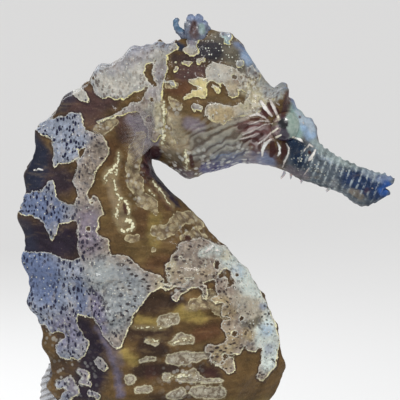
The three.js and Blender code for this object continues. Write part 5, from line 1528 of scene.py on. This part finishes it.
def build_fin(name, node, root, tip, facing, rays):
    """A fan of rounded rays in a thin web: straight from root to tip, with a notched edge."""
    f, rows = FIN, FIN["rows"]
    columns = (rays - 1) * f["per_ray"] + 1
    t, share = np.linspace(0, 1, columns), np.linspace(0, 1, rows)[None, :]
    phase = np.cos(np.pi * t * (rays - 1)) ** 2
    spine = phase[:, None] ** 3
    reach = np.linspace(-f["sunk"], 1, rows)[None, :] * (1 - f["notch"] * (1 - phase))[:, None]
    thick = f["web"] + (f["ray"] - f["web"]) * spine * (1 - f["thinned"] * share)
    jointed = 1 + f["joint"] * spine * np.sin(share * f["joints"])
    line = root(t)[:, None, :] + (tip(t) - root(t))[:, None, :] * reach[..., None]
    ripple = f["ripple"] * np.sin(t * f["ripples"])[:, None] * share
    middle = line + facing * ripple[..., None]
    half = facing * (thick * jointed / 2)[..., None]
    loops = np.concatenate([middle + half, (middle - half)[:, ::-1]], axis=1)
    count = 2 * rows
    k = np.arange(rows - 1)
    cap = np.stack([k, k + 1, count - 2 - k, count - 1 - k], -1)
    quads = np.concatenate([faces_of(columns, count), cap[:, ::-1], cap + (columns - 1) * count])
    ray = np.broadcast_to(spine, (columns, count))
    out = np.concatenate([reach, reach[:, ::-1]], axis=1)
    return piece(name, loops, quads, [], "fin", {"ray": ray.ravel(), "out": out.ravel()}, replaces=[node])


def build_dorsal():
    """The dorsal fin: rays square to the back that lean aft and shorten to both ends of a sine."""
    d = DORSAL

    def root(t):
        return surface(lerp(d["start"], d["end"], t), [0.0], FIN["lift"])[:, 0]

    def tip(t):
        height = FIN["lift"] + d["length"] * np.sin(np.pi * (0.06 + 0.6 * t))
        rings = lerp(d["start"], d["end"] + d["sweep"], t)
        at, lifted = surface(rings, [0.0])[:, 0], surface(rings, [0.0], 1.0)[:, 0]
        return at + (lifted - at) * height[:, None]

    return build_fin("dorsal_fin_web", "dorsal_fin", root, tip, SIDEWAYS, d["rays"])


def build_anal():
    """The anal fin: a few rays of one length from the belly's midline, spread between two aims."""
    a = ANAL

    def root(t):
        return surface(lerp(a["start"], a["end"], t), [1.0], FIN["lift"])[:, 0]

    def tip(t):
        aim = np.radians(lerp(*a["aims"], t))
        return root(t) + np.stack([np.cos(aim), 0 * aim, np.sin(aim)], -1) * a["length"]

    return build_fin("anal_fin_web", "anal_fin", root, tip, SIDEWAYS, a["rays"])


def build_pectoral(side, node):
    """A pectoral fin: rays fanned aft from a short row behind the gill, flared away from the neck."""
    p = PECTORAL
    flare = np.radians(p["flare"])
    away = np.array([-np.cos(flare), side * np.sin(flare), 0])
    facing = np.array([np.sin(flare), side * np.cos(flare), 0])

    def root(t):
        rows = [surface([p["ring"]], [girth], FIN["lift"])[0, 0] for girth in lerp(*p["girths"], t)]
        return np.array(rows) * [1, -side, 1]

    def tip(t):
        swing = np.radians(lerp(*p["fan"], t))[:, None]
        reach = p["length"] * (0.84 + 0.16 * np.sin(np.pi * t))
        return root(t) + (away * np.cos(swing) + [0, 0, 1] * np.sin(swing)) * reach[:, None]

    name = "pectoral_web_left" if side > 0 else "pectoral_web_right"
    return build_fin(name, node, root, tip, facing, p["rays"])


def fin_finish(name):
    """A clear film with fine rays, clearer towards its outer edge, with brown mottling."""
    film = FILMS[name]
    s = Finish(name)
    ray, out = s.field("ray"), s.field("out")
    mottle = s.noise(1.6, 2)
    colour = s.mix(ray, rgb(*film["web"]), rgb(*film["rays"]))
    colour = s.mix(mottle.smooth(0.5, 0.65) * 0.5, colour, rgb(92, 78, 76))
    web, solid = film["cover"]
    veil = (web + ray * (solid - web) + (1 - out) * 0.12) * (1 - out.smooth(0.45, 1) * film["fade"])
    s.set(Base_Color=colour, Roughness=0.3, Alpha=veil.math("MINIMUM", 1.0), Normal=s.bump(mottle, 0.04))
    s.set(Coat_Weight=0.2, Coat_Roughness=0.12)
    return s


# ---------------- filaments under the snout

# x, z, first heading in degrees, length
FILAMENTS = [(17.7, -1.7, -110, 1), (18.5, -2.1, -85, 0.5), (20, -2.6, -95, 0.6), (23.7, -3.7, -115, 0.8)]
THREAD = dict(rows=9, columns=10, apart=0.7, radius=0.17, thinned=0.75, bend=25)


def build_filaments():
    """Short tapered threads of skin in pairs: rings of a shrinking radius along a bent line."""
    f = THREAD
    share = np.linspace(0, 1, f["rows"])
    radius = f["radius"] * (1 - f["thinned"] * share)
    shapes = []
    for x, z, aim, length in FILAMENTS:
        heading = np.radians(aim - f["bend"] * share)
        step = np.stack([np.cos(heading), 0 * share, np.sin(heading)], -1) * length / (f["rows"] - 1)
        across = np.stack([-np.sin(heading), 0 * share, np.cos(heading)], -1)
        for side in (-1, 1):
            line = np.array([x, side * f["apart"], z]) + np.cumsum(step, axis=0) - step[0]
            loops, _ = tube(line, radius, across, SIDEWAYS[None], f["columns"])
            shapes.append(np.concatenate([loops.reshape(-1, 3), line[[0, -1]]]))
    return piece("snout_filaments", *joined(shapes, f["rows"], f["columns"]), "skin")


def filament_finish():
    """Pale blue-grey skin, a little see-through and wet."""
    s = Finish("pale filament")
    s.set(Base_Color=s.mix(s.noise(3), rgb(150, 160, 178), rgb(206, 206, 200)), Roughness=0.35)
    s.set(Coat_Weight=0.4, Subsurface_Weight=0.3, Subsurface_Scale=0.5 * MM)
    return s


# ---------------- the stand

STAND = dict(radius=27, height=6, bevel=1.2, boss_radius=3.6, boss_height=1.5, socket_depth=4, gap=0.3)
ROD = dict(radius=1.5, ring=26.6, cradle_depth=4.2, hidden=1.2)
# the base's foot and groove: (inset from the rim, height), and the top's ring: (inset, height from the top)
FOOT = [(0.3, 0), (0, 0.3), (0, 1.4), (0.35, 1.7), (0.35, 2.1), (0, 2.4)]
TOP_RING = [(1.2, 0), (1.35, -0.15), (1.5, 0)]


def turned(name, profile, centre, slot, node, columns):
    """A turned piece about an upright axis, from its profile (radius, height), closed on the axis."""
    profile = np.array(profile, float)
    body = profile[1:-1, None]
    rim = np.stack(circle(columns), -1)
    levels = np.broadcast_to(body[..., 1:], (len(body), columns, 1))
    grid = np.concatenate([body[..., :1] * rim, levels], -1)
    ends = [[0, 0, profile[0, 1]], [0, 0, profile[-1, 1]]]
    points = np.concatenate([grid.reshape(-1, 3), ends])
    place = np.array([centre, 0, 0])
    return piece(name, points, *capped(len(body), columns), slot, place=place, replaces=[node])


def arc(centre, radius, start, end, steps=8):
    """Points of a round edge, its angles in degrees from level."""
    angles = np.radians(np.linspace(start, end, steps))
    return [(centre[0] + radius * np.cos(a), centre[1] + radius * np.sin(a)) for a in angles]


def build_stand():
    """The base, its collar and the rod that goes down into the collar's socket, each turned."""
    _, back, _ = frames(np.array([ROD["ring"]]))
    rod_x, rod_z = back[0, 0] + THROAT[0], back[0, 1] + THROAT[2]
    s, edge, gap = STAND, STAND["bevel"], STAND["gap"]
    top, boss = s["height"], s["height"] + s["boss_height"]
    bottom = boss - s["socket_depth"]
    base = turned("base_disc", [
        (0, 0), *((s["radius"] - inset, height) for inset, height in FOOT),
        *arc((s["radius"] - edge, top - edge), edge, 0, 90),
        *((s["radius"] - edge - inset, top + height) for inset, height in TOP_RING), (0, top),
    ], 0, "stand_wood", "stand_base", 160)
    collar = turned("base_collar", [
        (0, top - 0.6), (s["boss_radius"], top - 0.6), (s["boss_radius"], top + 0.2),
        *arc((s["boss_radius"] * 0.8 - 0.5, boss - 0.5), 0.5, 10, 90, 5),
        (ROD["radius"] + gap, boss), (ROD["radius"] + gap, bottom), (0, bottom),
    ], rod_x, "stand_wood", "stand_base", 64)
    rod_top = rod_z - ROD["cradle_depth"] + ROD["hidden"]
    rod = turned("rod_polished", [
        (0, bottom + gap), (ROD["radius"] - 0.2, bottom + gap), (ROD["radius"], bottom + 0.5),
        (ROD["radius"], rod_top), (0, rod_top),
    ], rod_x, "stand_steel", "stand_rod", 48)
    return base, collar, rod


def wood_finish():
    """Dark lacquered wood: stretched grain, darker pores, a clear coat."""
    s = Finish("dark lacquered wood")
    grain = s.noise(0.9, 4, 0.6, s.stretch(0.08, 1, 1))
    pores = s.noise(5, 2, 0.5, s.stretch(0.06, 1, 1))
    colour = s.mix(grain.smooth(0.35, 0.65), rgb(34, 24, 20), rgb(74, 50, 36))
    colour = s.mix(pores.smooth(0.62, 0.72) * 0.7, colour, rgb(18, 12, 10))
    s.set(Base_Color=colour, Roughness=0.32 + grain * 0.15, Normal=s.bump(grain + pores * 0.4, 0.03))
    s.set(Coat_Weight=0.6, Coat_Roughness=0.08)
    return s


def steel_finish():
    """Polished steel drawn along its length, with faint rubbing."""
    s = Finish("polished steel")
    drawn = s.noise(2, 3, 0.6, s.stretch(4, 4, 0.2))
    s.set(Base_Color=s.mix(drawn, rgb(178, 180, 184), rgb(214, 216, 218)), Metallic=1.0)
    s.set(Roughness=0.18 + drawn * 0.14, Normal=s.bump(drawn, 0.01))
    return s


def pad_finish():
    """Grey felt that lines the cradle: short fibres and a nap."""
    s = Finish("grey felt")
    fibre = s.noise(6, 4, 0.7)
    fluff = s.noise(1.2, 2)
    colour = s.mix(fibre.smooth(0.35, 0.65), rgb(50, 52, 56), rgb(88, 90, 94))
    s.set(Base_Color=s.mix(fluff * 0.4, colour, rgb(70, 66, 66)), Roughness=0.9)
    s.set(Normal=s.bump(fibre, 0.12), Sheen_Weight=0.4)
    return s


# ---------------- floor, light and camera

CAMERA = dict(aim=(-1.0, 0.0, 90.53), elevation=8.5, distance=350, lens=236.25, sensor=36, seen=(0.01, 20))
SUN = dict(bearing=24, rise=58, spread=12, strength=1.85, colour=(1, 0.985, 0.96))
LIGHTS = [  # name, place, size, power, colour: a fill from the left and a rim light from behind
    ("fill", (-300, -260, 150), 240, 0.25, (0.93, 0.96, 1)),
    ("rim", (-160, 300, 260), 160, 0.5, (0.94, 0.97, 1)),
]
FLOOR = dict(reach=4000, tone=(0.82, 0.82, 0.82, 1))
SKY = dict(colour=(0.97, 0.98, 1, 1), strength=0.4)


def aimed(name, data, place, aim):
    """Adds a lamp or camera at a place, turned to the aim."""
    made = bpy.data.objects.new(name, data)
    made.location = place
    made.rotation_euler = (aim - made.location).to_track_quat("-Z", "Y").to_euler()
    bpy.context.scene.collection.objects.link(made)
    return made


def build_floor():
    """A wide flat square, kept out of the model."""
    reach = FLOOR["reach"] * MM
    corners = [(-reach, -reach, 0), (reach, -reach, 0), (reach, reach, 0), (-reach, reach, 0)]
    mesh = bpy.data.meshes.new("floor")
    mesh.from_pydata(corners, [], [(0, 1, 2, 3)])
    floor = bpy.data.objects.new("floor", mesh)
    bpy.context.scene.collection.objects.link(floor)
    s = Finish("pale floor")
    s.set(Base_Color=FLOOR["tone"], Roughness=0.8)
    s.on(floor)


def build_sky():
    """An even studio light from all round, and tones shown as they are."""
    world = bpy.data.worlds.new("studio")
    world.use_nodes = True
    sky = world.node_tree.nodes["Background"]
    sky.inputs["Color"].default_value = SKY["colour"]
    sky.inputs["Strength"].default_value = SKY["strength"]
    bpy.context.scene.world = world
    bpy.context.scene.view_settings.view_transform = "Standard"


def build_lights():
    """A broad key light from the front and above, and two soft panels."""
    aim = Vector(CAMERA["aim"]) * MM
    bearing, rise = np.radians(SUN["bearing"]), np.radians(SUN["rise"])
    toward = Vector((np.sin(bearing) * np.cos(rise), -np.cos(bearing) * np.cos(rise), np.sin(rise)))
    sun = bpy.data.lights.new("key", "SUN")
    sun.energy, sun.angle, sun.color = SUN["strength"], np.radians(SUN["spread"]), SUN["colour"]
    aimed("key", sun, aim + toward, aim)
    for name, place, width, power, colour in LIGHTS:
        light = bpy.data.lights.new(name, "AREA")
        light.size, light.energy, light.color = width * MM, power, colour
        aimed(name, light, Vector(place) * MM, aim)


def build_camera():
    """A long lens from the animal's right side, a little above it."""
    camera = bpy.data.cameras.new("camera")
    camera.lens, camera.sensor_width = CAMERA["lens"], CAMERA["sensor"]
    camera.clip_start, camera.clip_end = CAMERA["seen"]
    rise = np.radians(CAMERA["elevation"])
    aim = Vector(CAMERA["aim"]) * MM
    away = Vector((0, -np.cos(rise), np.sin(rise))) * CAMERA["distance"] * MM
    bpy.context.scene.camera = aimed("camera", camera, aim + away, aim)


# ---------------- the whole model

build_camera()
build_floor()
build_sky()
build_lights()
skin_finish().on(build_skin())
eye_finish().on(build_eye(-1, "eye_right"), build_eye(1, "eye_left"))
coronet_finish().on(build_coronet())
fin_finish("dorsal film").on(build_dorsal(), build_anal())
fin_finish("pectoral film").on(
    build_pectoral(-1, "pectoral_fin_right"), build_pectoral(1, "pectoral_fin_left")
)
filament_finish().on(build_filaments())
base, collar, rod = build_stand()
wood_finish().on(base, collar)
steel_finish().on(rod)
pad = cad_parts["stand_cradle"]
pad_finish().on(pad)
